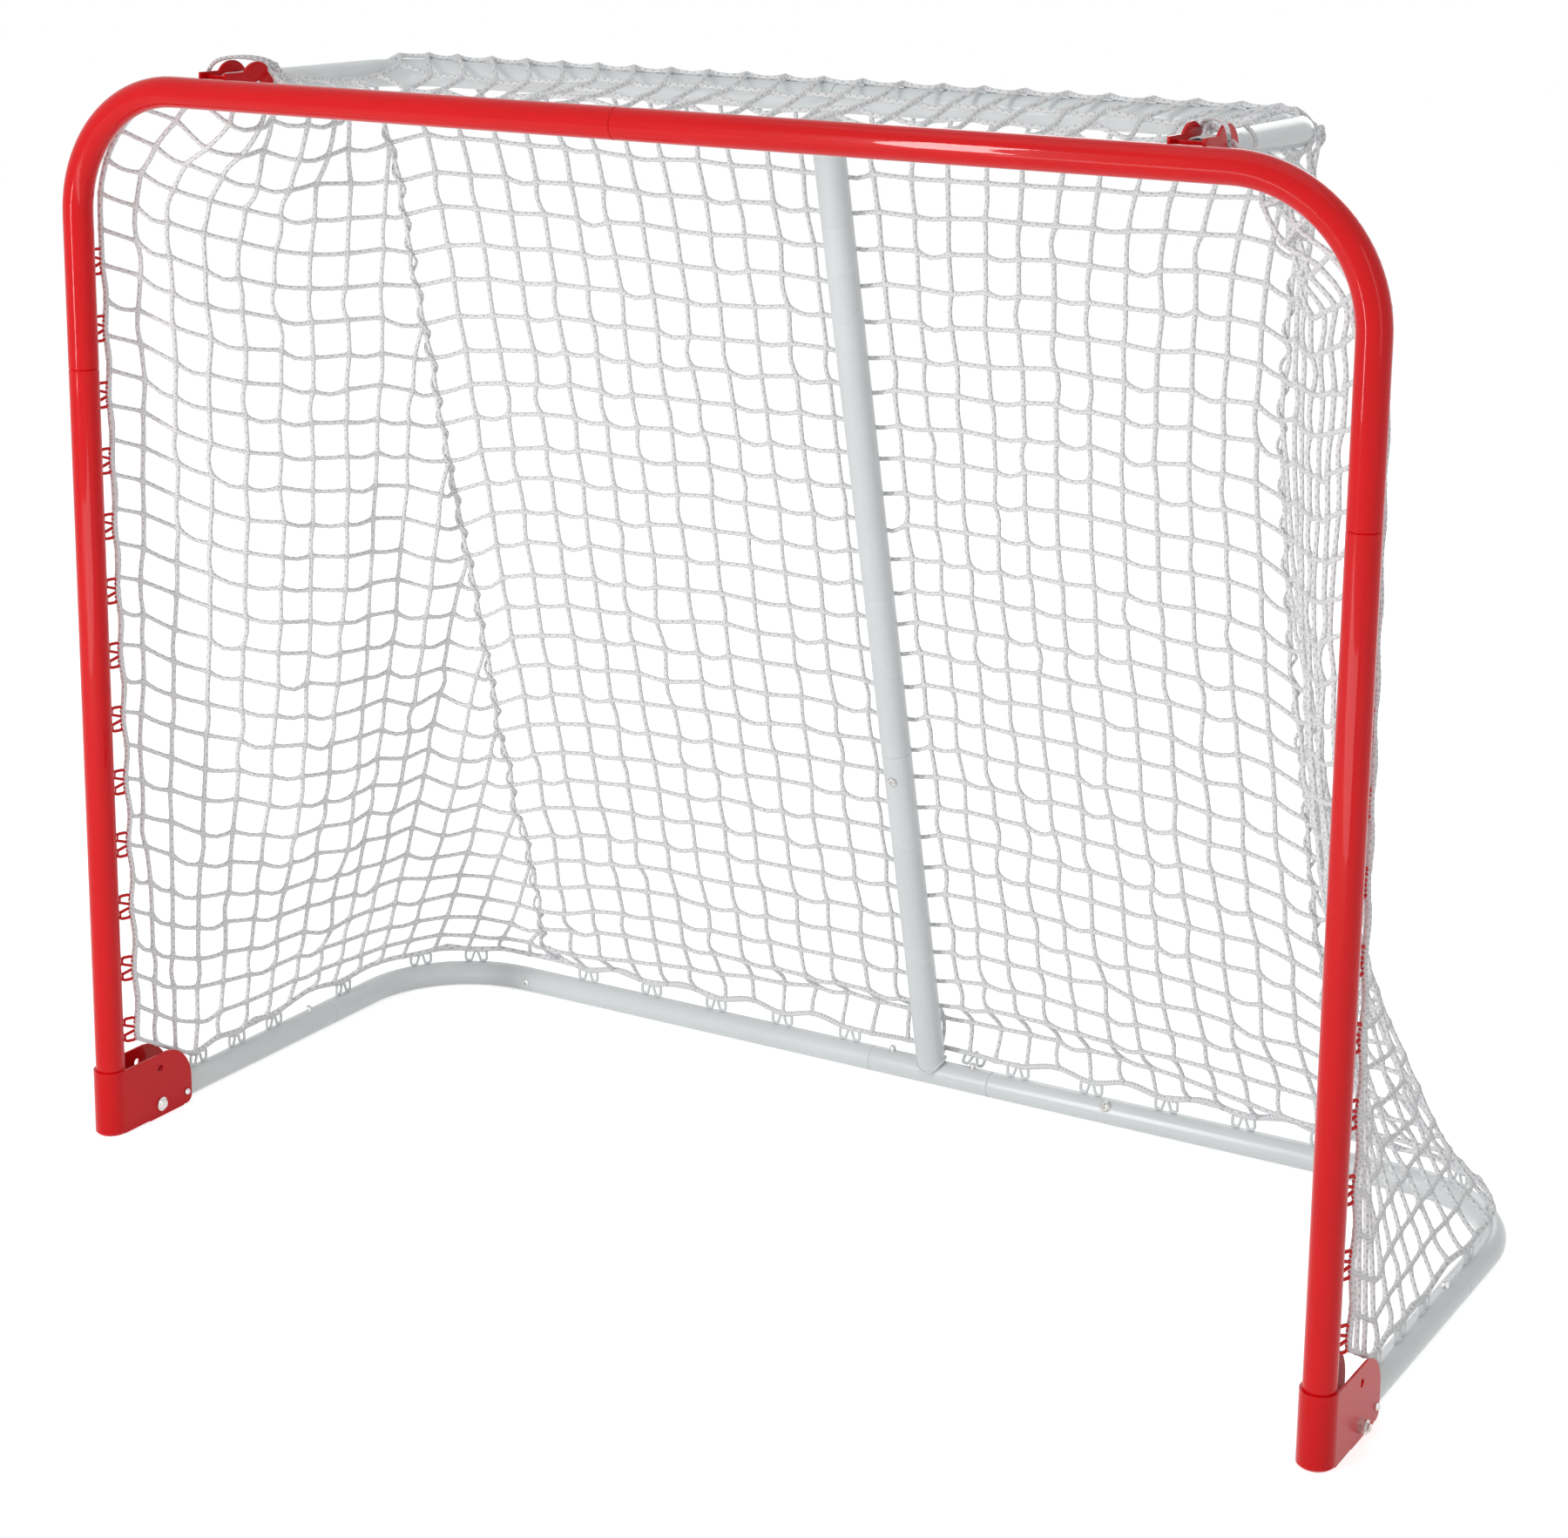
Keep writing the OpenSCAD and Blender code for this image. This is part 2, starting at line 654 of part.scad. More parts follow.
module pole_upper() {
    color("whitesmoke") along_pole() difference() {
        union() {
            translate([0, 0, pole_seam + lip]) cylinder(r = pole_r, h = pole_len - pole_seam - lip);
            translate([0, 0, pole_seam]) cylinder(r1 = pole_r - lip, r2 = pole_r, h = lip);
            translate([0, 0, pole_seam - spigot_len]) cylinder(r = pole_plug, h = spigot_len + 1);
        }
        translate([0, 0, pole_seam - spigot_len - 1]) cylinder(r = pole_bore, h = spigot_len + 6);
        translate([0, 0, pole_seam + 3]) cylinder(r = pole_in, h = pole_len);
        translate([-50, 0, pole_len]) rotate([0, 90, 0]) cylinder(r = sleeve_r + 0.05, h = 100);
        translate([0, 0, pole_seam - pole_screw_back]) rotate([90, 0, 0])
            cylinder(d = pole_screw_d + 0.2, h = 60);
    }
}

// A close sleeve round the shelf's rear bar, on which the pole swings
module pole_sleeve() {
    color("whitesmoke") translate([-pole_r, shelf_depth, shelf_z]) rotate([0, 90, 0]) difference() {
        cylinder(r = sleeve_r, h = 2 * pole_r);
        translate([0, 0, -1]) cylinder(r = shelf_r + running, h = 2 * pole_r + 2);
    }
}

module pole_screw() {
    color("silver") along_pole() translate([0, 0, pole_seam - pole_screw_back])
        rotate([90, 0, 0]) translate([0, 0, pole_r + 0.1]) screw(pole_screw_d, 10, 2.8, 6);
}

// ---- Net ----

function unit(v) = v / norm(v);
function lerp(a, b, t) = a + (b - a) * t;

// Corner k of the knot at grid point i, j. P is the grid of points on the net's surface.
function knot(P, nu, nv, i, j, su, sv, sn) =
    let (
        tu = unit(P[min(i + 1, nu)][j] - P[max(i - 1, 0)][j]),
        tv0 = unit(P[i][min(j + 1, nv)] - P[i][max(j - 1, 0)]),
        n = unit(cross(tu, tv0)),
        tv = cross(n, tu)
    )
    P[i][j] + (su * tu + sv * tv + sn * n) * strand / 2;

// Two triangles for the face a, b, c, d, given counter-clockwise from outside
function quad(a, b, c, d) = [[a, c, b], [a, d, c]];

// A net panel as one closed lattice: a square knot at each grid point, square strands
// between them, and an open gap in each cell
module lattice(P) {
    nu = len(P) - 1;
    nv = len(P[0]) - 1;
    function id(i, j, su, sv, sn) =
        (i * (nv + 1) + j) * 8 + (sn > 0 ? 4 : 0) + (sv > 0 ? 2 : 0) + (su > 0 ? 1 : 0);
    points = [for (i = [0 : nu]) for (j = [0 : nv])
        for (sn = [-1, 1]) for (sv = [-1, 1]) for (su = [-1, 1])
            knot(P, nu, nv, i, j, su, sv, sn)];
    faces = [
        for (i = [0 : nu]) for (j = [0 : nv]) each concat(
            quad(id(i, j, -1, -1, 1), id(i, j, 1, -1, 1), id(i, j, 1, 1, 1), id(i, j, -1, 1, 1)),
            quad(id(i, j, -1, -1, -1), id(i, j, -1, 1, -1), id(i, j, 1, 1, -1), id(i, j, 1, -1, -1)),
            i == nu ? quad(id(i, j, 1, -1, -1), id(i, j, 1, 1, -1),
                id(i, j, 1, 1, 1), id(i, j, 1, -1, 1)) : [],
            i == 0 ? quad(id(i, j, -1, -1, -1), id(i, j, -1, -1, 1),
                id(i, j, -1, 1, 1), id(i, j, -1, 1, -1)) : [],
            j == nv ? quad(id(i, j, -1, 1, -1), id(i, j, -1, 1, 1),
                id(i, j, 1, 1, 1), id(i, j, 1, 1, -1)) : [],
            j == 0 ? quad(id(i, j, -1, -1, -1), id(i, j, 1, -1, -1),
                id(i, j, 1, -1, 1), id(i, j, -1, -1, 1)) : []),
        for (i = [0 : nu - 1]) for (j = [0 : nv]) each concat(
            quad(id(i, j, 1, -1, 1), id(i + 1, j, -1, -1, 1),
                id(i + 1, j, -1, 1, 1), id(i, j, 1, 1, 1)),
            quad(id(i, j, 1, -1, -1), id(i, j, 1, 1, -1),
                id(i + 1, j, -1, 1, -1), id(i + 1, j, -1, -1, -1)),
            quad(id(i, j, 1, 1, -1), id(i, j, 1, 1, 1),
                id(i + 1, j, -1, 1, 1), id(i + 1, j, -1, 1, -1)),
            quad(id(i, j, 1, -1, -1), id(i + 1, j, -1, -1, -1),
                id(i + 1, j, -1, -1, 1), id(i, j, 1, -1, 1))),
        for (i = [0 : nu]) for (j = [0 : nv - 1]) each concat(
            quad(id(i, j, -1, 1, 1), id(i, j, 1, 1, 1),
                id(i, j + 1, 1, -1, 1), id(i, j + 1, -1, -1, 1)),
            quad(id(i, j, -1, 1, -1), id(i, j + 1, -1, -1, -1),
                id(i, j + 1, 1, -1, -1), id(i, j, 1, 1, -1)),
            quad(id(i, j, 1, 1, -1), id(i, j + 1, 1, -1, -1),
                id(i, j + 1, 1, -1, 1), id(i, j, 1, 1, 1)),
            quad(id(i, j, -1, 1, -1), id(i, j, -1, 1, 1),
                id(i, j + 1, -1, -1, 1), id(i, j + 1, -1, -1, -1)))
    ];
    color("white") polyhedron(points = points, faces = faces);
}

// Heights and depths that the panels hang from
net_half = arm_x - shelf_out - 5 - strand / 2 - 4;
hang = hook_peak + 0.5 + strand / 2;
wrap = sleeve_r + strand / 2 + 2.3;
net_low = base_z + base_r + hang;
rear_top_z = shelf_z - strand - 1;
seam_gap = strand + 3;

// Rear surface of the pole at height z
function pole_back(z) = shelf_depth + (shelf_z - z) * tan(pole_lean) + pole_r / cos(pole_lean);

// The rear panel: straight from the shelf's bar to the rear hooks, and round the pole
function rear_point(u, v) =
    let (
        z = lerp(rear_top_z, net_low, v),
        x = (2 * u - 1) * net_half,
        flat_y = lerp(shelf_depth + wrap, base_depth, v),
        near = max(0, 1 - abs(x) / (2 * net_half / rear_cols))
    )
    [x, lerp(flat_y, max(flat_y, pole_back(z) + strand / 2 + 0.8), near), z];

// The top panel: from the crossbar's hooks back, up and round the shelf's bar
top_path = [[front_r + hang, bar_height],
    [lerp(front_r + hang, shelf_depth, 0.5), lerp(bar_height, shelf_z + wrap, 0.5)],
    [shelf_depth, shelf_z + wrap],
    [shelf_depth + wrap * sin(45), shelf_z + wrap * cos(45)],
    [shelf_depth + wrap, shelf_z]];

// A side panel hangs between four edges: the post, the seam, the top and the bottom
hook_off = strand / 2 * sqrt(2) + wire + 1;
hold = 13.5;
function post_dx(s, z) = (front_r + hold) * cos(hook_aim(z)) - s * hook_off * sin(hook_aim(z));
function post_dy(s, z) = (front_r + hold) * sin(hook_aim(z)) + s * hook_off * cos(hook_aim(z));
net_front_z = hook_first - 4;
bend_turn = 60;
front_run = bar_height - front_bend - net_front_z;
front_total = front_run + front_bend * bend_turn * PI / 180;

// Up the post and round its bend: v = 0 at the top and v = 1 at the bottom
function front_edge(s, v) =
    let (
        d = (1 - v) * front_total,
        a = max(0, d - front_run) / front_bend * 180 / PI,
        z = net_front_z + min(d, front_run)
    )
    [post_x - front_bend * (1 - cos(a)) + s * post_dx(s, z) * cos(a),
        post_dy(s, z) + 4 * sin(a),
        min(d, front_run) + net_front_z + front_bend * sin(a)];

function seam_edge(v) = [net_half + seam_gap, lerp(shelf_depth + wrap, base_depth, v),
    lerp(rear_top_z, net_low, v)];

arm_clear = arm_x + shelf_r + strand / 2 * sqrt(2) + 6.5;
turn_clear = shelf_bend + shelf_r + strand / 2 * sqrt(2) + 9;
function top_points(s) = [front_edge(s, 0),
    [arm_clear + 46, shelf_bolt + 21, shelf_z - 6],
    [arm_clear + 16, shelf_bolt + 76, shelf_z],
    [arm_clear, lerp(shelf_bolt + 76, shelf_depth - shelf_bend, 0.5), shelf_z],
    [arm_clear, shelf_depth - shelf_bend, shelf_z],
    [arm_x - shelf_bend + turn_clear * sin(45), shelf_depth - shelf_bend + turn_clear * cos(45),
        shelf_z - 2],
    seam_edge(0)];

side_run = base_depth - base_bend;
bottom_first = side_hook_first + 13;
function bottom_points(s) = [front_edge(s, 1),
    [post_x, bottom_first, net_low],
    [post_x, lerp(bottom_first, side_run, 0.5), net_low],
    [post_x, side_run, net_low],
    [post_x - base_bend * (1 - cos(45)), side_run + base_bend * sin(45), net_low],
    [post_x - base_bend, base_depth, net_low],
    seam_edge(1)];

function side_point(s, i, j) =
    let (
        u = i / side_cols,
        v = j / side_rows,
        t = top_points(s),
        b = bottom_points(s)
    )
    (1 - u) * front_edge(s, v) + u * seam_edge(v) + (1 - v) * t[i] + v * b[i]
        - (1 - u) * (1 - v) * t[0] - u * (1 - v) * t[side_cols]
        - (1 - u) * v * b[0] - u * v * b[side_cols];

module net_rear() {
    lattice([for (i = [0 : rear_cols]) [for (j = [0 : rear_rows])
        rear_point(i / rear_cols, j / rear_rows)]]);
}

module net_top() {
    lattice([for (i = [0 : rear_cols]) [for (p = top_path)
        [(2 * i / rear_cols - 1) * net_half, p[0], p[1]]]]);
}

module net_side(s) {
    side(s) lattice([for (i = [0 : side_cols]) [for (j = [0 : side_rows])
        side_point(s, i, j)]]);
}

module net_left() { net_side(-1); }
module net_right() { net_side(1); }

place() corner_tube_left();
place() corner_tube_right();
place() lower_post_left();
place() lower_post_right();
place() foot_bracket_left();
place() foot_bracket_right();
place() pivot_bolts();
place() pivot_nuts();
place() shelf_bracket_left();
place() shelf_bracket_right();
place() shelf_tube();
place() shelf_bolts();
place() shelf_nuts();
place() post_hooks_left();
place() post_hooks_right();
place() crossbar_hooks();
place() net_top();
place() net_rear();
place() net_left();
place() net_right();
place() side_tube_left();
place() side_tube_right();
place() rear_corner_left();
place() rear_corner_right();
place() rear_tee();
place() base_hooks_left();
place() base_hooks_right();
place() tee_hooks();
place() rear_screw_left();
place() rear_screw_right();
place() snap_springs();
place() pole_lower();
place() pole_upper();
place() pole_sleeve();
place() pole_screw();
place() tee_button_left();
place() tee_button_right();
place() side_button_left();
place() side_button_right();
place() lock_button_left_inner();
place() lock_button_left_outer();
place() lock_button_right_inner();
place() lock_button_right_outer();
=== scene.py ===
import math
import random
import bmesh
import bpy
import numpy as np
from mathutils import Matrix, Vector


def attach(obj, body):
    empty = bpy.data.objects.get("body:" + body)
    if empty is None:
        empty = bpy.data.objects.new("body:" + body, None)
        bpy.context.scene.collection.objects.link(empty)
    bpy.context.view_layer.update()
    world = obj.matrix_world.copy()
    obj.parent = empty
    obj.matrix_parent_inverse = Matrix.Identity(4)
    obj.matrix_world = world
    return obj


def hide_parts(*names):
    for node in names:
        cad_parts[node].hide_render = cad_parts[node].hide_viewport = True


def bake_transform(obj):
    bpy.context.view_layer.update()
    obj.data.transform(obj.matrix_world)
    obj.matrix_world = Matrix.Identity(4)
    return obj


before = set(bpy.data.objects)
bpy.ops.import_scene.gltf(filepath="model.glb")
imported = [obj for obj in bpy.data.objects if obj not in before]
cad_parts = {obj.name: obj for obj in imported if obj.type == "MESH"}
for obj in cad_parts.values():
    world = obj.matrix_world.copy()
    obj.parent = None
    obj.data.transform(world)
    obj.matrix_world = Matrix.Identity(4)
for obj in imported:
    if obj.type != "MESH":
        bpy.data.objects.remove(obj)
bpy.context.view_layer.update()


# ---- Camera ----
# Stands off the goal's right front, a little above the crossbar, and looks down at it
# by about 13 degrees. The lens shift places the goal in the picture.
camera_data = bpy.data.cameras.new("goal_camera")
camera_data.sensor_fit = "HORIZONTAL"
camera_data.sensor_width = 36.0
camera_data.lens = 73.214
camera_data.shift_x = -0.04039
camera_data.shift_y = -0.14564
camera_data.clip_start = 0.05
camera = bpy.data.objects.new("goal_camera", camera_data)
camera_place = Vector((1.53314, -2.65052, 1.35874))
camera_turn = Vector((1.74407, 0.47184, -0.35561))
world_to_lens = Matrix.Rotation(camera_turn.length, 3, camera_turn.normalized())
right, down, ahead = world_to_lens
camera.matrix_world = Matrix.Translation(camera_place) @ Matrix(
    (right, -down, -ahead)
).transposed().to_4x4()
bpy.context.scene.collection.objects.link(camera)
bpy.context.scene.camera = camera


# ---- Studio ----
# A white room with weak, even light. A tall, narrow panel in front of the left post
# makes the long highlights on round tube, and four wider, weaker panels fill in.
scene = bpy.context.scene
scene.view_settings.view_transform = "Standard"
white = (1.0, 1.0, 1.0, 1.0)


def seen_or_mirrored(tree):
    """A mask that is 1 on camera, transmission and glossy rays, and 0 on the others."""
    rays = tree.nodes.new("ShaderNodeLightPath")
    mask = rays.outputs["Is Camera Ray"]
    for kind in ("Is Transmission Ray", "Is Glossy Ray"):
        either = tree.nodes.new("ShaderNodeMath")
        either.operation = "MAXIMUM"
        tree.links.new(mask, either.inputs[0])
        tree.links.new(rays.outputs[kind], either.inputs[1])
        mask = either.outputs[0]
    return mask


world = bpy.data.worlds.new("studio")
scene.world = world
world.use_nodes = True
world_tree = world.node_tree
world_tree.nodes.clear()
room_light = world_tree.nodes.new("ShaderNodeBackground")
room_light.inputs["Color"].default_value = white
room_light.inputs["Strength"].default_value = 0.45
white_back = world_tree.nodes.new("ShaderNodeBackground")
white_back.inputs["Color"].default_value = white
white_back.inputs["Strength"].default_value = 1.0
pick = world_tree.nodes.new("ShaderNodeMixShader")
world_tree.links.new(seen_or_mirrored(world_tree), pick.inputs[0])
world_tree.links.new(room_light.outputs[0], pick.inputs[1])
world_tree.links.new(white_back.outputs[0], pick.inputs[2])
world_out = world_tree.nodes.new("ShaderNodeOutputWorld")
world_tree.links.new(pick.outputs[0], world_out.inputs["Surface"])


def studio_panel(name, place, aim, size, watts):
    """A rectangular area lamp that faces a point."""
    lamp = bpy.data.lights.new(name, "AREA")
    lamp.shape = "RECTANGLE"
    lamp.size, lamp.size_y = size
    lamp.energy = watts
    holder = bpy.data.objects.new(name, lamp)
    holder.location = place
    holder.rotation_euler = (Vector(aim) - Vector(place)).to_track_quat("-Z", "Y").to_euler()
    holder.visible_camera = False
    scene.collection.objects.link(holder)


studio_panel("top_panel", (0.3, -0.6, 3.4), (0.0, 0.0, 0.4), (3.0, 2.0), 10.0)
studio_panel("key_panel", (-1.3, -3.3, 1.3), (0.0, -0.1, 0.7), (0.22, 2.2), 46.0)
studio_panel("low_panel", (0.3, -2.1, 0.10), (0.0, -0.3, 1.1), (2.2, 0.35), 8.0)
studio_panel("right_panel", (3.2, -1.6, 1.6), (0.2, 0.0, 0.6), (0.6, 2.4), 8.0)
studio_panel("rear_panel", (-0.6, 3.4, 2.0), (0.0, 0.2, 0.5), (2.4, 2.0), 24.0)

bpy.ops.mesh.primitive_plane_add(size=14.0, location=(0.0, 0.0, 0.0))
floor = bpy.context.object
floor.name = "floor"
floor_paint = bpy.data.materials.new("floor_white")
floor_paint.use_nodes = True
floor_tree = floor_paint.node_tree
floor_tree.nodes.clear()
matte = floor_tree.nodes.new("ShaderNodeBsdfDiffuse")
matte.inputs["Color"].default_value = (0.92, 0.92, 0.92, 1.0)
glow = floor_tree.nodes.new("ShaderNodeEmission")
glow.inputs["Color"].default_value = white
glow.inputs["Strength"].default_value = 0.62
no_glow = floor_tree.nodes.new("ShaderNodeEmission")
no_glow.inputs["Strength"].default_value = 0.0
lift = floor_tree.nodes.new("ShaderNodeMixShader")
floor_tree.links.new(seen_or_mirrored(floor_tree), lift.inputs[0])
floor_tree.links.new(no_glow.outputs[0], lift.inputs[1])
floor_tree.links.new(glow.outputs[0], lift.inputs[2])
both = floor_tree.nodes.new("ShaderNodeAddShader")
floor_tree.links.new(matte.outputs[0], both.inputs[0])
floor_tree.links.new(lift.outputs[0], both.inputs[1])
floor_out = floor_tree.nodes.new("ShaderNodeOutputMaterial")
floor_tree.links.new(both.outputs[0], floor_out.inputs["Surface"])
floor.data.materials.append(floor_paint)


# ---- Front frame tubes ----
# Bent and straight steel tube under a thick gloss red powder coat. The two bent
# corners and the two lower posts plug together, and each seam has 1 mm bevels.
def noise(tree, place, scale, detail):
    """A noise texture over an object's own space."""
    grain = tree.nodes.new("ShaderNodeTexNoise")
    grain.inputs["Scale"].default_value = scale
    grain.inputs["Detail"].default_value = detail
    tree.links.new(place.outputs["Object"], grain.inputs["Vector"])
    return grain.outputs["Fac"]


def two_tones(tree, value, low, high, dark, light):
    """A colour that goes from dark to light as the value goes from low to high."""
    ramp = tree.nodes.new("ShaderNodeValToRGB")
    for stop, position, colour in zip(ramp.color_ramp.elements, (low, high), (dark, light)):
        stop.position = position
        stop.color = (*colour, 1.0)
    tree.links.new(value, ramp.inputs["Fac"])
    return ramp.outputs["Color"]


def cloudy_roughness(tree, shader, value, low, high):
    """Roughness that drifts between two limits with a value."""
    haze = tree.nodes.new("ShaderNodeMapRange")
    haze.inputs["To Min"].default_value = low
    haze.inputs["To Max"].default_value = high
    tree.links.new(value, haze.inputs["Value"])
    tree.links.new(haze.outputs["Result"], shader.inputs["Roughness"])


def relief(tree, shader, height, strength, depth):
    """Fine bumps on a skin, so many metres deep."""
    bump = tree.nodes.new("ShaderNodeBump")
    bump.inputs["Strength"].default_value = strength
    bump.inputs["Distance"].default_value = depth
    tree.links.new(height, bump.inputs["Height"])
    tree.links.new(bump.outputs["Normal"], shader.inputs["Normal"])


def powder_coat(name, colour, roughness, peel, gloss, clear=0.0):
    """Coated steel: a little drift in tone, rare dark specks and a soft orange peel."""
    paint = bpy.data.materials.new(name)
    paint.use_nodes = True
    tree = paint.node_tree
    shader = tree.nodes["Principled BSDF"]
    shader.inputs["Specular IOR Level"].default_value = gloss
    shader.inputs["Coat Weight"].default_value = clear
    shader.inputs["Coat Roughness"].default_value = 0.025
    place = tree.nodes.new("ShaderNodeTexCoord")
    drift = noise(tree, place, 9.0, 3.0)
    tone = two_tones(tree, drift, 0.3, 0.7, [c * 0.94 for c in colour], colour)
    specks = tree.nodes.new("ShaderNodeTexVoronoi")
    specks.inputs["Scale"].default_value = 70.0
    tree.links.new(place.outputs["Object"], specks.inputs["Vector"])
    rare = tree.nodes.new("ShaderNodeMapRange")
    rare.inputs["From Min"].default_value = 0.02
    rare.inputs["From Max"].default_value = 0.10
    rare.inputs["To Min"].default_value = 0.16
    rare.inputs["To Max"].default_value = 0.0
    tree.links.new(specks.outputs["Distance"], rare.inputs["Value"])
    marked = tree.nodes.new("ShaderNodeMixRGB")
    marked.inputs["Color2"].default_value = (*[c * 0.55 for c in colour], 1.0)
    tree.links.new(rare.outputs["Result"], marked.inputs["Fac"])
    tree.links.new(tone, marked.inputs["Color1"])
    tree.links.new(marked.outputs["Color"], shader.inputs["Base Color"])
    cloudy_roughness(tree, shader, drift, roughness * 0.85, roughness * 1.2)
    relief(tree, shader, noise(tree, place, 420.0, 2.0), peel, 0.0002)
    return paint


def finish_nodes(finish, *names):
    """Gives carried-over parts their material."""
    for name in names:
        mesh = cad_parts[name].data
        mesh.materials.clear()
        mesh.materials.append(finish)


red_coat = powder_coat("red_powder_coat", (0.69, 0.003, 0.006), 0.20, 0.05, 0.05, clear=0.34)
finish_nodes(red_coat, "corner_tube_left", "corner_tube_right",
             "lower_post_left", "lower_post_right")


# ---- Foot brackets ----
# Folded and pressed steel plate, in a red coat a little duller than the tubes'. One
# sits at each post's foot, and its two walls take the pivot bolt and the lock studs.
bracket_coat = powder_coat("red_bracket_coat", (0.65, 0.003, 0.006), 0.26, 0.12, 0.08, clear=0.22)
finish_nodes(bracket_coat, "foot_bracket_left", "foot_bracket_right")


# ---- Pivot bolts, shelf bolts and their nuts ----
# Zinc-plated steel. Each bolt goes through both walls of its bracket and the tube
# between them, and a nut on its outer end holds it.
def bright_metal(name, colour, roughness, lines):
    """Plated or drawn steel, with fine scratches and a cloudy plating."""
    metal = bpy.data.materials.new(name)
    metal.use_nodes = True
    tree = metal.node_tree
    shader = tree.nodes["Principled BSDF"]
    shader.inputs["Metallic"].default_value = 1.0
    place = tree.nodes.new("ShaderNodeTexCoord")
    cloud = noise(tree, place, 160.0, 4.0)
    tone = two_tones(tree, cloud, 0.32, 0.68, [c * 0.72 for c in colour], colour)
    tree.links.new(tone, shader.inputs["Base Color"])
    cloudy_roughness(tree, shader, cloud, roughness * 0.7, roughness * 1.4)
    relief(tree, shader, noise(tree, place, lines, 3.0), 0.12, 0.0001)
    return metal


zinc_plate = bright_metal("zinc_plate", (0.72, 0.72, 0.70), 0.26, 900.0)
finish_nodes(zinc_plate, "pivot_bolts", "pivot_nuts", "shelf_bolts", "shelf_nuts")


# ---- Shelf ----
# A pale bent tube that holds the net's top out behind the crossbar. Each of its two
# arms ends in a red steel bracket behind the crossbar, with a bolt through both.
finish_nodes(bracket_coat, "shelf_bracket_left", "shelf_bracket_right")
pale_coat = powder_coat("pale_powder_coat", (0.75, 0.785, 0.79), 0.24, 0.08, 0.45)
finish_nodes(pale_coat, "shelf_tube")


# ---- Base frame tubes ----
# Straight sides, two bent rear corners and a short tee at the middle, all in the
# pale coat. They plug together, and one screw stands in each rear corner tube.
finish_nodes(pale_coat, "side_tube_left", "side_tube_right",
             "rear_corner_left", "rear_corner_right", "rear_tee")
finish_nodes(zinc_plate, "rear_screw_left", "rear_screw_right")


# ---- Sprung buttons ----
# Bright domed studs on bent spring-steel strip inside the tubes. They click out
# through holes, and lock the base in place or join its tubes.
stud_plate = bright_metal("stud_plate", (0.78, 0.78, 0.77), 0.14, 700.0)
finish_nodes(stud_plate, "tee_button_left", "tee_button_right",
             "side_button_left", "side_button_right",
             "lock_button_left_inner", "lock_button_left_outer",
             "lock_button_right_inner", "lock_button_right_outer")
spring_steel = bright_metal("spring_steel", (0.40, 0.39, 0.37), 0.34, 600.0)
finish_nodes(spring_steel, "snap_springs")


# ---- Centre pole ----
# Two pale tubes that plug together, with one cross-recess screw. The pole hangs from
# the shelf tube in a sleeve, and its foot sits on the base's tee.
pole_coat = powder_coat("pole_powder_coat", (0.72, 0.755, 0.76), 0.26, 0.08, 0.45)
finish_nodes(pole_coat, "pole_upper", "pole_lower", "pole_sleeve")
finish_nodes(zinc_plate, "pole_screw")


# ---- Edge ropes ----
# Braided cord of 5.8 mm. One length runs up a post, over the corner, behind the
# crossbar and down the other post, and a second one runs round the base. Both run
# through the hooks, and the net's edge meshes hang on them.
def behind(mm):
    """The frame's y, in metres, of a point so far behind the line of the posts."""
    return -0.28880114 + mm / 1000.0


post_x = 0.675
post_radius = 0.015
bar_z = 1.095
base_radius = 0.014
base_z = 0.014
bend_x = 0.548
bend_radius = 0.127
upper_bend_z = 0.968
rear_bend_mm = 443
rear_mm = 570
shelf_mm = 300
shelf_z = 1.1
rope_radius = 0.0029
rope_out = 0.0295
rope_z = 0.0425
hook_pitch = 0.0675
first_hook_z = 0.109
hook_row = 0.81
bar_pitch = 0.088
bar_row_end = 0.44
rear_hook_x = 0.105
rope_top, rope_foot = 0.955, 0.098
net_pull = 0.0035


def hook_way(z):
    """Which way the post hooks point at a height: nearly straight back at the top."""
    turn = math.radians(28.0 - 24.0 * min(1.0, max(0.0, (z - first_hook_z) / hook_row)))
    return math.sin(turn), math.cos(turn)


def scallop(z):
    """How far the net pulls the rope out between two post hooks."""
    return net_pull * math.sin(math.pi * (z - first_hook_z) / hook_pitch) ** 2


front_path = {}
for side in (-1, 1):
    path = []
    way_x, way_y = hook_way(upper_bend_z)
    for step in range(13):
        angle = math.radians(90.0 - 7.5 * step)
        out = side * rope_out * way_x * step / 12
        path.append((side * (bend_x + (bend_radius + out) * math.cos(angle)),
                     behind(1000 * rope_out * way_y),
                     upper_bend_z + (bend_radius + out) * math.sin(angle)))
    for z in np.linspace(rope_top, rope_foot, 102):
        way_x, way_y = hook_way(z)
        reach = rope_out + (scallop(z) if z < 0.92 else 0.0)
        path.append((side * post_x + reach * way_x, behind(1000 * reach * way_y), z))
    front_path[side] = np.array(path)


def rear_bend(side, angle):
    """The x and y of the base tube's middle, so far round a rear corner."""
    return (side * (bend_x + bend_radius * math.cos(angle)),
            behind(rear_bend_mm + 1000 * bend_radius * math.sin(angle)))


base_path = {}
for side in (-1, 1):
    path = [(side * post_x, behind(y), rope_z + lift)
            for y, lift in ((122, 0.003), (137, 0), (152, 0.003), (168, 0.006), (185, 0.003),
                            (200.5, 0), (216, 0.003), (232, 0.006), (248, 0.003), (264, 0),
                            (295, 0.006), (326, 0.010), (357, 0.006), (388, 0), (415, 0.004),
                            (443, 0.004))]
    for degrees, lift in ((16, 0.002), (32, 0), (47, 0.006), (62, 0), (76, 0.004), (90, 0.003)):
        path.append((*rear_bend(side, math.radians(degrees)), rope_z + lift))
    path.append((side * 0.500, behind(rear_mm), 0.0455))
    base_path[side] = np.array(path)


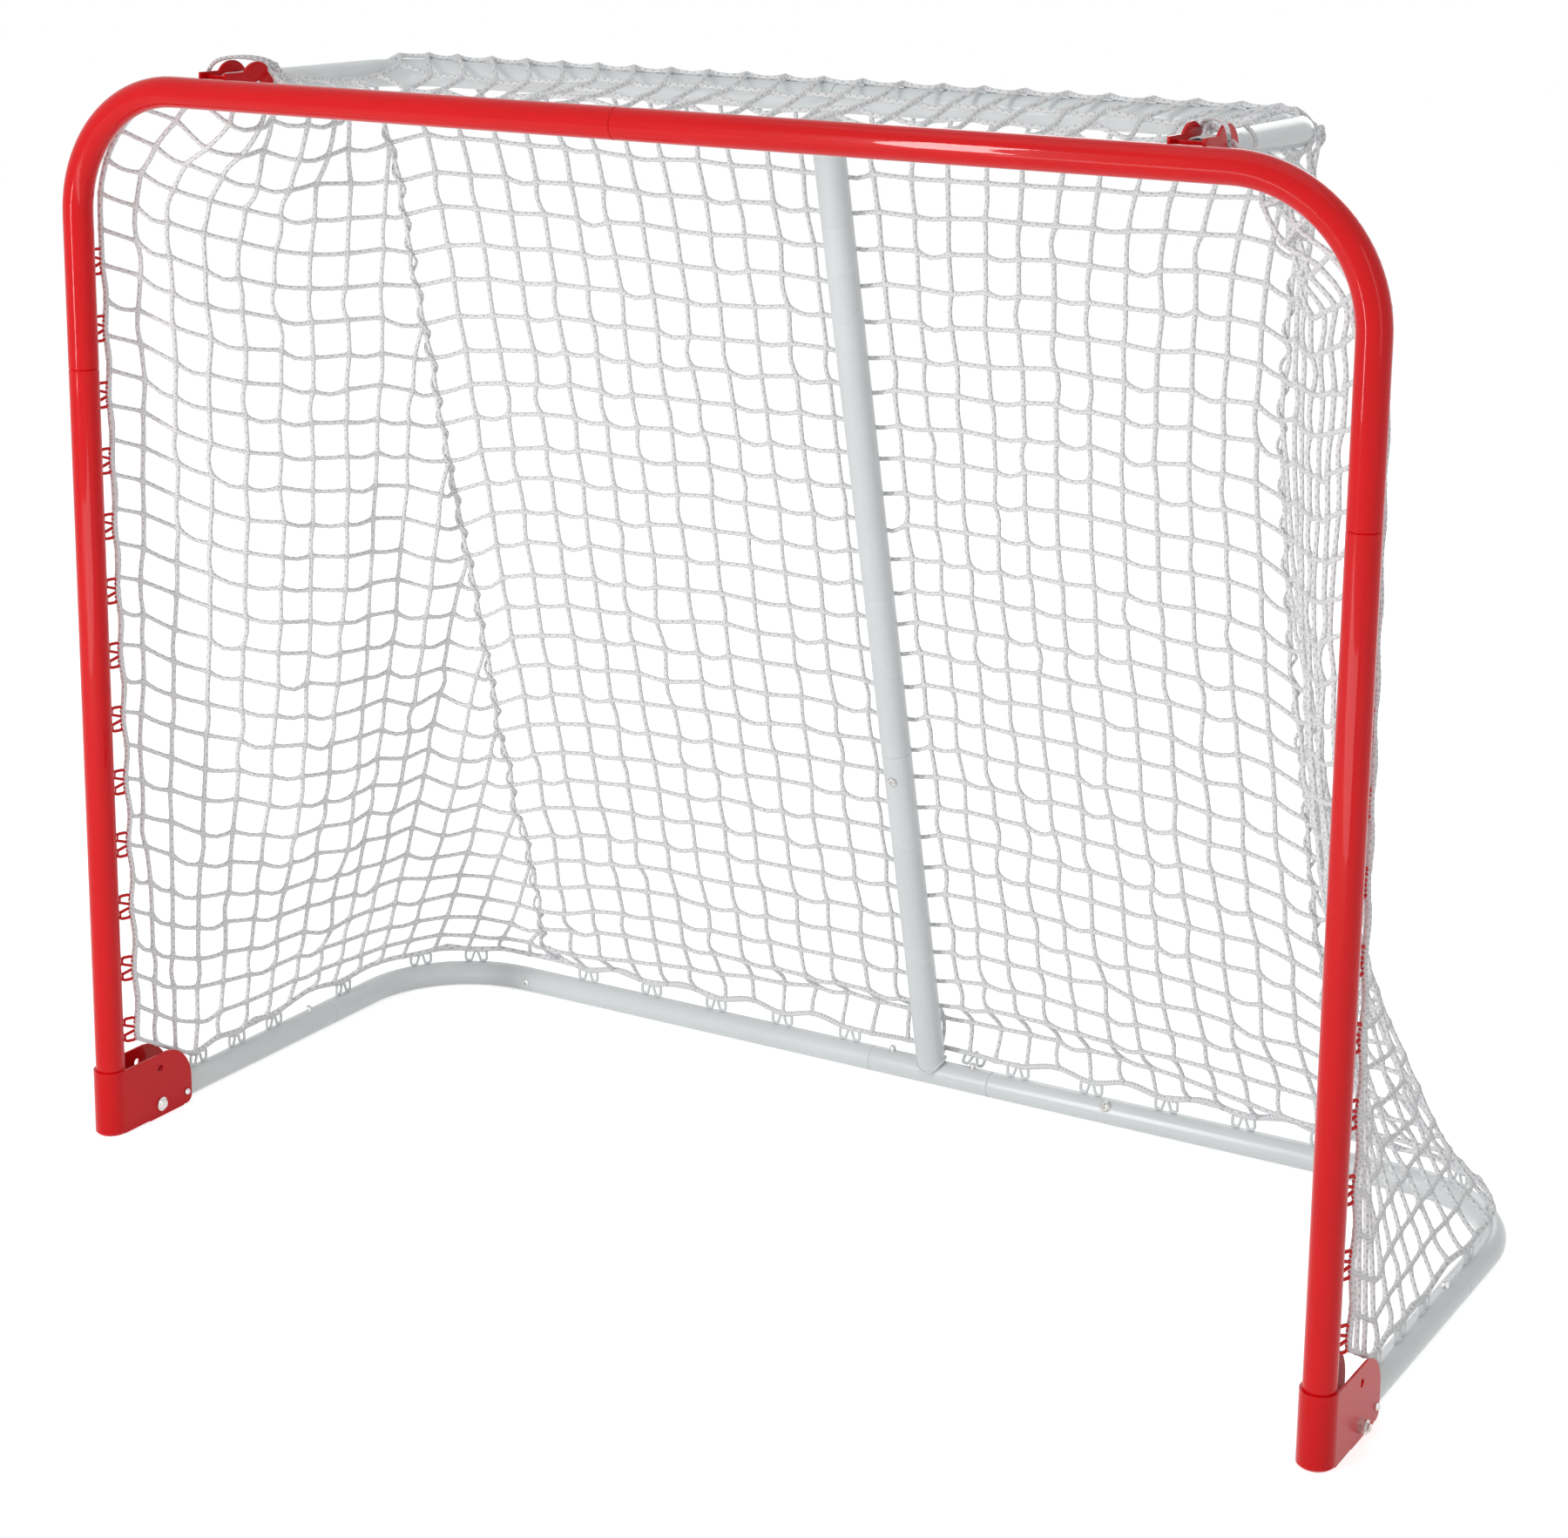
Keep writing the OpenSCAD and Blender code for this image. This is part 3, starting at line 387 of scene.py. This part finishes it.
def twine(name, colour, painted_groove_shade, pitch):
    """Braided cord: two sets of yarns cross on its skin, over a map in metres, with painted shade in
    the grooves.
    """
    cord = bpy.data.materials.new(name)
    cord.use_nodes = True
    tree = cord.node_tree
    shader = tree.nodes["Principled BSDF"]
    shader.inputs["Roughness"].default_value = 0.82
    shader.inputs["Specular IOR Level"].default_value = 0.25
    shader.inputs["Sheen Weight"].default_value = 0.25
    shader.inputs["Sheen Roughness"].default_value = 0.5
    place = tree.nodes.new("ShaderNodeTexCoord")
    split = tree.nodes.new("ShaderNodeSeparateXYZ")
    tree.links.new(place.outputs["UV"], split.inputs["Vector"])
    along = tree.nodes.new("ShaderNodeMath")
    along.operation = "MULTIPLY"
    along.inputs[1].default_value = 2.0 * math.pi / pitch
    tree.links.new(split.outputs["X"], along.inputs[0])
    yarn = tree.nodes.new("ShaderNodeMath")
    yarn.operation = "MAXIMUM"
    for number, turns in enumerate((2.0, -2.0)):
        lean = tree.nodes.new("ShaderNodeMath")
        lean.operation = "MULTIPLY_ADD"
        lean.inputs[1].default_value = 2.0 * math.pi * turns
        tree.links.new(split.outputs["Y"], lean.inputs[0])
        tree.links.new(along.outputs["Value"], lean.inputs[2])
        wave = tree.nodes.new("ShaderNodeMath")
        wave.operation = "SINE"
        tree.links.new(lean.outputs["Value"], wave.inputs[0])
        tree.links.new(wave.outputs["Value"], yarn.inputs[number])
    height = tree.nodes.new("ShaderNodeMapRange")
    height.inputs["From Min"].default_value = -1.0
    tree.links.new(yarn.outputs["Value"], height.inputs["Value"])
    # Painted shade: the low parts of the braid, the grooves between the yarns, take the darker
    # second colour.
    tone = two_tones(tree, height.outputs["Result"], 0.1, 0.75, painted_groove_shade, colour)
    soil = tree.nodes.new("ShaderNodeMixRGB")
    soil.blend_type = "MULTIPLY"
    soil.inputs["Color2"].default_value = (0.93, 0.935, 0.945, 1.0)
    tree.links.new(noise(tree, place, 24.0, 4.0), soil.inputs["Fac"])
    tree.links.new(tone, soil.inputs["Color1"])
    tree.links.new(soil.outputs["Color"], shader.inputs["Base Color"])
    relief(tree, shader, height.outputs["Result"], 0.65, 0.0006)
    return cord


def lay_cords(name, paths, radius, finish, swell=None, sides=1):
    """Cords along the given points, as one closed mesh with a map in metres along each."""
    curve = bpy.data.curves.new(name, "CURVE")
    curve.dimensions = "3D"
    curve.bevel_depth = radius
    curve.bevel_resolution = sides
    for number, path in enumerate(paths):
        spline = curve.splines.new("POLY")
        spline.points.add(len(path) - 1)
        points = np.ones((len(path), 4))
        points[:, :3] = path
        spline.points.foreach_set("co", points.ravel())
        if swell is not None:
            spline.points.foreach_set("radius", np.asarray(swell[number], float))
    holder = bpy.data.objects.new(name + "_curve", curve)
    mesh = bpy.data.meshes.new_from_object(holder)
    round_count = 4 + 2 * sides
    uv = np.zeros(len(mesh.loops) * 2)
    skin = mesh.uv_layers[0].data
    skin.foreach_get("uv", uv)
    uv = uv.reshape(-1, 2)
    start = 0
    for path in paths:
        count = 4 * round_count * (len(path) - 1)
        uv[start:start + count, 0] *= np.linalg.norm(np.diff(path, axis=0), axis=1).sum()
        start += count
    skin.foreach_set("uv", uv.ravel())
    solid = bmesh.new()
    solid.from_mesh(mesh)
    ends = [edge for edge in solid.edges if edge.is_boundary]
    bmesh.ops.holes_fill(solid, edges=ends, sides=round_count)
    bmesh.ops.recalc_face_normals(solid, faces=solid.faces)
    for face in solid.faces:
        face.smooth = True
    solid.to_mesh(mesh)
    solid.free()
    mesh.name = name
    mesh.materials.clear()
    mesh.materials.append(finish)
    bpy.data.objects.remove(holder)
    bpy.data.curves.remove(curve)
    piece = bpy.data.objects.new(name, mesh)
    bpy.context.scene.collection.objects.link(piece)
    return piece


edge_cord = twine("edge_cord", (0.87, 0.875, 0.88), (0.57, 0.58, 0.60), 0.0062)
bar_run = [(x, behind(29.4 + 2.5 * math.sin(math.pi * (x + bar_row_end) / bar_pitch) ** 2),
            1.0955)
           for x in np.linspace(-0.53, 0.53, 121)]
front_rope = lay_cords(
    "front_edge_rope",
    [np.concatenate([front_path[-1][::-1], np.array(bar_run), front_path[1]])],
    rope_radius, edge_cord, sides=2)
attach(front_rope, "front_frame")


def rear_foot(x):
    """The base rope's place behind the goal: up between hooks, round the pole's foot."""
    round_pole = max(0.0, 1.0 - (abs(x) / 0.075) ** 2)
    drawn = 0.0
    if abs(x) > rear_hook_x:
        drawn = 0.008 * math.sin(math.pi * (abs(x) - rear_hook_x) / bar_pitch) ** 2
    return (x, behind(rear_mm + 19 * round_pole), rope_z + drawn - 0.006 * round_pole)


rear_run = [rear_foot(x) for x in np.linspace(-0.47, 0.47, 107)]
base_rope = lay_cords(
    "base_edge_rope",
    [np.concatenate([base_path[-1], np.array(rear_run), base_path[1][::-1]])],
    rope_radius, edge_cord, sides=2)
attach(base_rope, "base_frame")


# ---- Pole foot lip ----
# The pole's lower end is cut to sit on the round tee, and a rolled steel lip runs
# round the cut. It is coated with the pole.
lip_wire = 0.0014
lip_round = 0.0168
tee_round = 0.0186
pole_rise = 1.086
pole_up = np.array([0.0, behind(shelf_mm) - behind(rear_mm), pole_rise])
pole_up /= np.linalg.norm(pole_up)
pole_cross = np.cross(pole_up, (1.0, 0.0, 0.0))
lip_path = []
for step in range(49):
    angle = 2.0 * math.pi * step / 48
    lip_x, lip_cross = lip_round * math.cos(angle), lip_round * math.sin(angle)
    lip_up = math.sqrt(tee_round ** 2 - lip_cross ** 2)
    lip_path.append(np.array([lip_x, behind(rear_mm), base_z]) + pole_cross * lip_cross
                    + pole_up * lip_up)
foot_lip = lay_cords("pole_foot_lip", [np.array(lip_path)], lip_wire, pole_coat, sides=2)
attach(foot_lip, "center_pole")


# ---- Rope hooks ----
# Steel wire of 3.4 mm, bent to a peak between two curled legs and set on the tubes.
# The rope runs in under the peak. Those on the red tubes are coated red with them.
def hook_wire(hold, out, along, tube_radius):
    """One hook's wire, bent from curl to curl over its peak."""
    half, leg, curl, base = 0.0125, 0.009, 0.0034, 0.0055
    foot, tip = tube_radius + 0.0016, tube_radius + 0.0170
    outline = [(half - curl + curl * math.cos(math.radians(a)),
                foot + leg + curl * math.sin(math.radians(a))) for a in (150, 115, 80, 45, 10)]
    outline += [(half, foot + leg * 0.4), (half - 0.0004, foot + 0.0016),
                (half - 0.0016, foot + 0.0003), (base + 0.0014, foot),
                (base - 0.0001, foot + 0.0007), (0.0014, tip - 0.0026), (0.0004, tip - 0.0004)]
    outline += [(-p, q) for p, q in reversed(outline)]
    hold, out, along = (np.array(part) for part in (hold, out, along))
    return np.array([hold + along * p + out * q for p, q in outline])


wire_radius = 0.0017
tee_radius = 0.016
side_hooks_mm = (137.0, 200.5, 264.0, 388.0)
bend_hooks = (32.0, 62.0)
tee_hooks_x = (-0.008, 0.043)
hook_rows = {
    "post_hooks_left": ("front_frame", red_coat, []),
    "post_hooks_right": ("front_frame", red_coat, []),
    "crossbar_hooks": ("front_frame", red_coat, []),
    "base_hooks_left": ("base_frame", pale_coat, []),
    "base_hooks_right": ("base_frame", pale_coat, []),
    "tee_hooks": ("base_frame", pale_coat, []),
}
for side, word in ((-1, "left"), (1, "right")):
    for step in range(13):
        z = first_hook_z + hook_pitch * step
        hook_rows["post_hooks_" + word][2].append(
            hook_wire((side * post_x, behind(0), z), (*hook_way(z), 0.0), (0, 0, 1),
                      post_radius))
    wires_here = hook_rows["base_hooks_" + word][2]
    for y in side_hooks_mm:
        wires_here.append(
            hook_wire((side * post_x, behind(y), base_z), (0, 0, 1), (0, 1, 0), base_radius))
    for degrees in bend_hooks:
        angle = math.radians(degrees)
        wires_here.append(hook_wire(
            (*rear_bend(side, angle), base_z), (0, 0, 1),
            (-side * math.sin(angle), math.cos(angle), 0.0), base_radius))
    for step in range(5):
        wires_here.append(hook_wire(
            (side * (rear_hook_x + bar_pitch * step), behind(rear_mm), base_z),
            (0, 0, 1), (1, 0, 0), base_radius))
for step in range(-5, 6):
    hook_rows["crossbar_hooks"][2].append(
        hook_wire((bar_pitch * step, behind(0), bar_z), (0, 1, 0), (1, 0, 0), post_radius))
for x in tee_hooks_x:
    hook_rows["tee_hooks"][2].append(hook_wire(
        (x, behind(rear_mm), base_z), (0, math.sqrt(0.5), math.sqrt(0.5)), (1, 0, 0), tee_radius))
for node, (body, coat, wires_here) in hook_rows.items():
    hooks = lay_cords("wire_" + node, wires_here, wire_radius, coat)
    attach(hooks, body)
    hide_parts(node)


# ---- Net shape ----
# Square-mesh netting of white braided twine, with meshes of 35 to 38 mm. Four panels
# share the knots where they meet: a flat top, a rear, and two sides that widen
# towards the floor. The meshes hang slack between the ropes, and this settles them.
across, down_rows, deep = 26, 30, 8
mesh_wide, mesh_tall, side_tall = 0.0378, 0.0363, 0.0354
side_growth, growth_power = 9.0, 1.35
brace_length = 0.0535
length_scatter = 0.032
shelf_half = 0.497
net_top_z = 1.097
top_corners = {0: (0.5185, 270, 1.104), 1: (0.502, 295, 1.103), 2: (0.468, 315, 1.100)}
side_width = [deep + side_growth * (row / down_rows) ** growth_power for row in range(down_rows + 1)]
side_reach = [int(math.floor(wide - 0.35)) + 1 for wide in side_width]
knots, knot_at, held = [], {}, set()


def knot(key, point):
    """The number of a named knot, made at the point when it is new."""
    if key not in knot_at:
        knot_at[key] = len(knots)
        knots.append(np.array(point, float))
    return knot_at[key]


def shared(kind, *at):
    """One name for a knot where two panels meet."""
    if kind == "top" and at[1] == deep:
        return ("rear", at[0], 0)
    if kind == "top" and at[0] in (0, across):
        return shared("side", -1 if at[0] == 0 else 1, 0, at[1])
    if kind == "side" and at[2] >= side_reach[at[1]]:
        return ("rear", 0 if at[0] < 0 else across, at[1])
    return (kind, *at)


def even_points(path, count):
    """Points at even lengths along a rope."""
    run = np.r_[0, np.cumsum(np.linalg.norm(np.diff(path, axis=0), axis=1))]
    at = np.linspace(0, run[-1], count)
    return np.stack([np.interp(at, run, path[:, axis]) for axis in range(3)], axis=1)


for column in range(across + 1):
    x = -shelf_half + 2 * shelf_half * column / across
    for row in range(down_rows + 1):
        share = row / down_rows
        number = knot(("rear", column, row),
                      (x, behind(319.5 + 249.5 * share), net_top_z - 1.0545 * share))
        if row == 0:
            held.add(number)
            from_edge = min(column, across - column)
            if from_edge in top_corners:
                out, set_back, z = top_corners[from_edge]
                knots[number][:] = (math.copysign(out, x), behind(set_back), z)
            else:
                knots[number][0] = -0.432 + 0.0432 * (column - 3)
        if row == down_rows:
            held.add(number)
            knots[number][:] = rear_foot(-0.5 + column / across)
for side in (-1, 1):
    edge = even_points(front_path[side], down_rows + 1)
    foot_line = even_points(np.concatenate([edge[-1:], base_path[side]]),
                            side_reach[down_rows] + 1)
    for row in range(down_rows + 1):
        seam = knots[knot_at[("rear", 0 if side < 0 else across, row)]]
        for column in range(side_reach[row]):
            share = column / side_width[row]
            point = edge[row] * (1 - share) + seam * share
            if row == down_rows:
                point = foot_line[column]
            number = knot(("side", side, row, column), point)
            if column == 0 or row == down_rows:
                held.add(number)
for column in range(across + 1):
    for row in range(deep + 1):
        share = row / deep
        set_back = 29.5 + min(row, deep - 1) / (deep - 1) * 270.5
        spread = 2 * column / across - 1
        number = knot(shared("top", column, row),
                      (spread * (bend_x * (1 - share) + shelf_half * share), behind(set_back),
                       net_top_z + 0.0207 * min(1.0, row / 3)))
        if row == 0:
            held.add(number)
        if row == deep - 1 and 2 <= column <= across - 2:
            held.add(number)
            knots[number][0] = knots[knot_at[("rear", column, 0)]][0]
        elif row == deep - 1 and column in (1, across - 1):
            held.add(number)
            knots[number][:] = (math.copysign(0.490, spread), behind(280), 1.1172)
start_at = np.array(knots)

twines = {}


def tie(first, second, length, soft=False):
    """A length of twine between two knots, or a soft brace across a mesh."""
    twines[(min(first, second), max(first, second))] = (length, soft)


for column in range(across + 1):
    for row in range(down_rows):
        tie(knot_at[("rear", column, row)], knot_at[("rear", column, row + 1)], mesh_tall)
for row in range(down_rows + 1):
    for column in range(across):
        tie(knot_at[("rear", column, row)], knot_at[("rear", column + 1, row)], mesh_wide)
for side in (-1, 1):
    for row in range(down_rows + 1):
        for column in range(side_reach[row]):
            here = knot_at[shared("side", side, row, column)]
            part = side_width[row] - column if column == side_reach[row] - 1 else 1.0
            there = knot_at[shared("side", side, row, column + 1)]
            gap = float(np.linalg.norm(start_at[here] - start_at[there]))
            rest = 0.985 * mesh_wide * part
            tie(here, there, min(rest, gap * (1.008 + 0.012 * row)) if row < 6 else rest)
            if row < down_rows and column < side_reach[row + 1]:
                tie(here, knot_at[shared("side", side, row + 1, column)], side_tall)
    for row in range(down_rows):
        for column in range(side_reach[row], side_reach[row + 1]):
            tie(knot_at[shared("side", side, row, side_reach[row])],
                knot_at[shared("side", side, row + 1, column)], mesh_tall)
for row in range(deep):
    for column in range(across):
        here = knot_at[shared("top", column, row)]
        for there, slack in ((shared("top", column, row + 1), 1.004),
                             (shared("top", column + 1, row), 1.006)):
            if (column > 0 or there[0] == "top") and (row > 0 or there[-1] == 1):
                gap = float(np.linalg.norm(start_at[here] - start_at[knot_at[there]]))
                tie(here, knot_at[there], gap * slack)
cells = [[("rear", c, r), ("rear", c + 1, r), ("rear", c + 1, r + 1), ("rear", c, r + 1)]
         for r in range(down_rows) for c in range(across)]
for side in (-1, 1):
    for row in range(down_rows):
        for column in range(min(side_reach[row], side_reach[row + 1]) - 1):
            cells.append([("side", side, row, column), ("side", side, row, column + 1),
                          ("side", side, row + 1, column + 1), ("side", side, row + 1, column)])
for cell in cells:
    corners = [knot_at[shared(*key)] for key in cell]
    tie(corners[0], corners[2], brace_length, True)
    tie(corners[1], corners[3], brace_length, True)

first = np.array([pair[0] for pair in twines])
second = np.array([pair[1] for pair in twines])
scatter = np.random.default_rng(7).standard_normal(len(first)).clip(-2, 2)
length = np.array([twine_of[0] for twine_of in twines.values()]) * (1 + length_scatter * scatter)
brace = np.array([twine_of[1] for twine_of in twines.values()])
loose = np.ones(len(knots))
loose[list(held)] = 0

busy = [set() for _ in knots]
batch = np.zeros(len(first), int)
for number in np.argsort(brace, kind="stable"):
    a, b = first[number], second[number]
    while batch[number] in busy[a] or batch[number] in busy[b]:
        batch[number] += 1
    busy[a].add(batch[number])
    busy[b].add(batch[number])
batches = []
for number in range(batch.max() + 1):
    these = np.flatnonzero(batch == number)
    a, b = first[these], second[these]
    share = np.maximum(loose[a] + loose[b], 1)
    batches.append((a, b, length[these], brace[these],
                    (loose[a] / share)[:, None], (loose[b] / share)[:, None]))


def bend_line(side, centre, radius, height, thick):
    """The tube lengths round a bent corner that lies flat."""
    points = [(side * (centre[0] + radius * math.cos(math.radians(a))),
               behind(1000 * (centre[1] + radius * math.sin(math.radians(a)))), height)
              for a in (0, 22.5, 45, 67.5, 90)]
    return [(points[n], points[n + 1], thick) for n in range(4)]


pole_clear = 0.0188
bar_clear = 0.0178
base_clear = 0.0175
shelf_clear = 0.0172
arm_clear = 0.0168
bracket_clear = 0.0275
arm_x = 0.505
tubes = [((0, behind(shelf_mm), shelf_z), (0, behind(rear_mm), base_z), pole_clear),
         ((-0.445, behind(shelf_mm), shelf_z), (0.445, behind(shelf_mm), shelf_z), shelf_clear),
         ((-bend_x, behind(rear_mm), base_z), (bend_x, behind(rear_mm), base_z), base_clear),
         ((-0.56, behind(0), bar_z), (0.56, behind(0), bar_z), bar_clear)]
for side in (-1, 1):
    side_x = side * post_x
    hold_x = side * arm_x
    tubes += [((hold_x, behind(54), shelf_z), (hold_x, behind(240), shelf_z), arm_clear),
              ((hold_x, behind(22), shelf_z), (hold_x, behind(54), shelf_z), bracket_clear),
              ((side_x, behind(57), base_z), (side_x, behind(rear_bend_mm), base_z), base_clear),
              ((side_x, behind(0), 0.1), (side_x, behind(0), upper_bend_z), bar_clear)]
    tubes += bend_line(side, (0.445, 0.240), 0.060, shelf_z, arm_clear)
    tubes += bend_line(side, (bend_x, 0.443), bend_radius, base_z, base_clear)


def push_clear(at):
    """Moves knots off the tubes, and always to the back of the pole."""
    for tube_start, tube_end, thick in tubes:
        tube_start, run = np.array(tube_start), np.array(tube_end) - np.array(tube_start)
        share = np.clip(((at - tube_start) @ run) / (run @ run), 0, 1)
        near = tube_start + share[:, None] * run
        off = at - near
        far = np.linalg.norm(off, axis=1)
        inside = (far < thick) & (loose > 0)
        if inside.any():
            off = off[inside]
            if thick == pole_clear:
                off = off + np.array([0.0, 0.02, 0.0])
            away = np.maximum(np.linalg.norm(off, axis=1), 1e-9)
            at[inside] = near[inside] + off / away[:, None] * thick


settle_steps, sweeps = 300, 8
keep_speed = 0.93
fall = 0.00012
inward = 0.00006
brace_pull, slack_pull = 0.02, 0.03
lean_in = np.zeros(len(knots))
for key, number in knot_at.items():
    if key[0] == "side":
        lean_in[number] = -key[1] * inward
settled = start_at.copy()
speed = np.zeros_like(settled)
for step in range(settle_steps):
    speed *= keep_speed
    speed[:, 2] -= fall
    speed[:, 0] += lean_in
    moved = settled + speed * loose[:, None]
    for sweep in range(sweeps):
        for a, b, rest, is_brace, give_a, give_b in batches:
            gap = moved[b] - moved[a]
            far = np.sqrt((gap * gap).sum(1))
            over = far - rest
            pull = np.where(is_brace, brace_pull, np.where(over > 0, 1.0, slack_pull)) * over
            gap *= (pull / np.maximum(far, 1e-9))[:, None]
            moved[a] += gap * give_a
            moved[b] -= gap * give_b
    push_clear(moved)
    speed = moved - settled
    settled = moved


# ---- Net panels ----
# Each twine is one braid of 4.8 mm. It thickens where it crosses another one, and
# bows a little where it is slack.
net_twine = twine("net_twine", (0.88, 0.885, 0.89), (0.61, 0.62, 0.64), 0.0056)
jitter = random.Random(11)
twine_radius = 0.0024
most_bow = 0.0055
crossing_swell = 1.42
steps_along = np.array([0.0, 0.10, 0.22, 0.5, 0.78, 0.90])
swell_along = np.array([crossing_swell, 1.16, 1.0, 1.0, 1.0, 1.16])


def run_twine(keys, droop):
    """A smooth path and its thickness for one twine through the named knots."""
    numbers = [knot_at[shared(*key)] for key in keys]
    points = settled[numbers]
    before = np.concatenate([points[:1], points[:-1]])
    after = np.concatenate([points[1:], points[-1:]])
    way = (after - before) * 0.5
    way[0] *= 2
    way[-1] *= 2
    path, thick = [], []
    for n in range(len(points) - 1):
        start, end = points[n], points[n + 1]
        gap = float(np.linalg.norm(end - start))
        reach = min(1.0, gap / max(1e-9, float(np.linalg.norm(way[n]))))
        reach_end = min(1.0, gap / max(1e-9, float(np.linalg.norm(way[n + 1]))))
        pair = (min(numbers[n], numbers[n + 1]), max(numbers[n], numbers[n + 1]))
        spare = max(0.0, twines[pair][0] - gap) if pair in twines else 0.0
        bow = min(most_bow, 0.6 * math.sqrt(spare * gap) + 0.0004)
        turn = jitter.uniform(0.0, 2.0 * math.pi)
        sway = np.array([math.cos(turn), math.sin(turn), -abs(droop)]) * bow
        sway[2] *= 1.0 if droop else 0.0
        sway[:2] *= 0.45 if droop else 0.8
        for t, wide in zip(steps_along, swell_along):
            a = (1 + 2 * t) * (1 - t) ** 2 * start + t * (1 - t) ** 2 * way[n] * reach
            b = t * t * (3 - 2 * t) * end + t * t * (t - 1) * way[n + 1] * reach_end
            path.append(a + b + sway * math.sin(math.pi * t))
            thick.append(wide)
    path.append(points[-1])
    thick.append(crossing_swell)
    return np.array(path), np.array(thick)


def net_panel(name, runs, node):
    """One cut panel of netting, from the runs of knots that its twines follow."""
    made = [run_twine(keys, droop) for keys, droop in runs]
    panel = lay_cords(name, [m[0] for m in made], twine_radius, net_twine,
                      swell=[m[1] for m in made])
    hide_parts(node)
    return panel


rear_runs = [([("rear", c, r) for r in range(down_rows + 1)], 0) for c in range(across + 1)]
rear_runs += [([("rear", c, r) for c in range(across + 1)], 1) for r in range(down_rows + 1)]
rear_panel = net_panel("net_panel_rear", rear_runs, "net_rear")

side_panels = {}
for side, word in ((-1, "left"), (1, "right")):
    runs = []
    for row in range(down_rows + 1):
        runs.append(([("side", side, row, c) for c in range(side_reach[row] + 1)], 1))
    for column in range(side_reach[down_rows]):
        rows_here = [r for r in range(down_rows + 1) if side_reach[r] > column]
        keys = [("side", side, r, column) for r in rows_here]
        if rows_here[0] > 0:
            keys = [("side", side, rows_here[0] - 1, side_reach[rows_here[0] - 1])] + keys
        runs.append((keys, 0))
    side_panels[side] = net_panel("net_panel_" + word, runs, "net_" + word)

top_runs = [([("top", c, r) for r in range(deep + 1)], 0) for c in range(1, across)]
top_runs += [([("top", c, r) for c in range(across + 1)], 1) for r in range(deep)]
top_panel = net_panel("net_panel_top", top_runs, "net_top")
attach(top_panel, "front_frame")


# ---- Seam lacing ----
# A thin cord winds round the meeting edges of two panels and takes one turn at each
# mesh. It runs down both rear corners and along the back of the shelf.
lacing_cord = twine("lacing_cord", (0.82, 0.825, 0.83), (0.48, 0.49, 0.51), 0.005)
lacing_radius = 0.0017
tie_radius = 0.0020


def lace(name, keys, wide):
    """A winding cord about the line through the named knots."""
    line = settled[[knot_at[key] for key in keys]]
    path = []
    for n in range(len(line) - 1):
        way = line[n + 1] - line[n]
        way = way / max(1e-9, float(np.linalg.norm(way)))
        side_way = np.cross(way, np.array([0.3, 0.2, 0.93]) if abs(way[2]) < 0.8
                            else np.array([0.8, 0.6, 0.0]))
        side_way /= np.linalg.norm(side_way)
        up_way = np.cross(side_way, way)
        for t in np.arange(0.0, 1.0, 0.125):
            angle = 2.0 * math.pi * t
            path.append(line[n] * (1 - t) + line[n + 1] * t
                        + wide * (side_way * math.cos(angle) + up_way * math.sin(angle)))
    return lay_cords(name, [np.array(path)], lacing_radius, lacing_cord)


seam_left = lace("seam_lacing_left", [("rear", 0, r) for r in range(down_rows + 1)], 0.0042)
seam_right = lace("seam_lacing_right", [("rear", across, r) for r in range(down_rows + 1)], 0.0042)
seam_top = lace("seam_lacing_top", [("rear", c, 0) for c in range(1, across)], 0.0038)
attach(seam_top, "front_frame")


# ---- Corner ties ----
# Short white cords that hold the net's top corners to the shelf. Each crosses a red
# bracket slantwise, goes down behind it and under the arm, and back up to the net.
def corner_tie(name, side, first_slant):
    """A cord over a shelf bracket and once round the arm behind it."""
    marks = [(0.534, 30, 1.1030), (0.529, 36, 1.1200), (0.520, 45, 1.1262),
             (0.505, 58 + first_slant, 1.1268), (0.491, 72 + first_slant, 1.1212),
             (0.4845, 88, 1.1080), (0.4868, 93, 1.0920), (0.499, 97, 1.0815),
             (0.513, 100, 1.0830), (0.5235, 104, 1.0950), (0.523, 109, 1.1080),
             (0.512, 113, 1.1175)]
    marks = [(side * x, behind(y), z) for x, y, z in marks]
    path = []
    for n in range(len(marks) - 1):
        a, b = np.array(marks[n]), np.array(marks[n + 1])
        before = np.array(marks[max(0, n - 1)])
        after = np.array(marks[min(len(marks) - 1, n + 2)])
        for t in (0.0, 0.25, 0.5, 0.75):
            path.append((1 + 2 * t) * (1 - t) ** 2 * a + t * t * (3 - 2 * t) * b
                        + t * (1 - t) ** 2 * (b - before) * 0.5
                        + t * t * (t - 1) * (after - a) * 0.5)
    path.append(np.array(marks[-1]))
    return lay_cords(name, [np.array(path)], tie_radius, lacing_cord)


for side, word in ((-1, "left"), (1, "right")):
    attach(corner_tie("corner_tie_" + word, side, 0), "front_frame")
    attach(corner_tie("corner_tie_second_" + word, side, 9), "front_frame")


# ---- Net placement ----
# The base folds up against the posts. The rear panel, its corner lacing and the two
# side panels have their placement baked into their meshes; nothing here makes them
# follow the fold.
for panel in (rear_panel, seam_left, seam_right):
    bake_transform(panel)
for side in (-1, 1):
    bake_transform(side_panels[side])
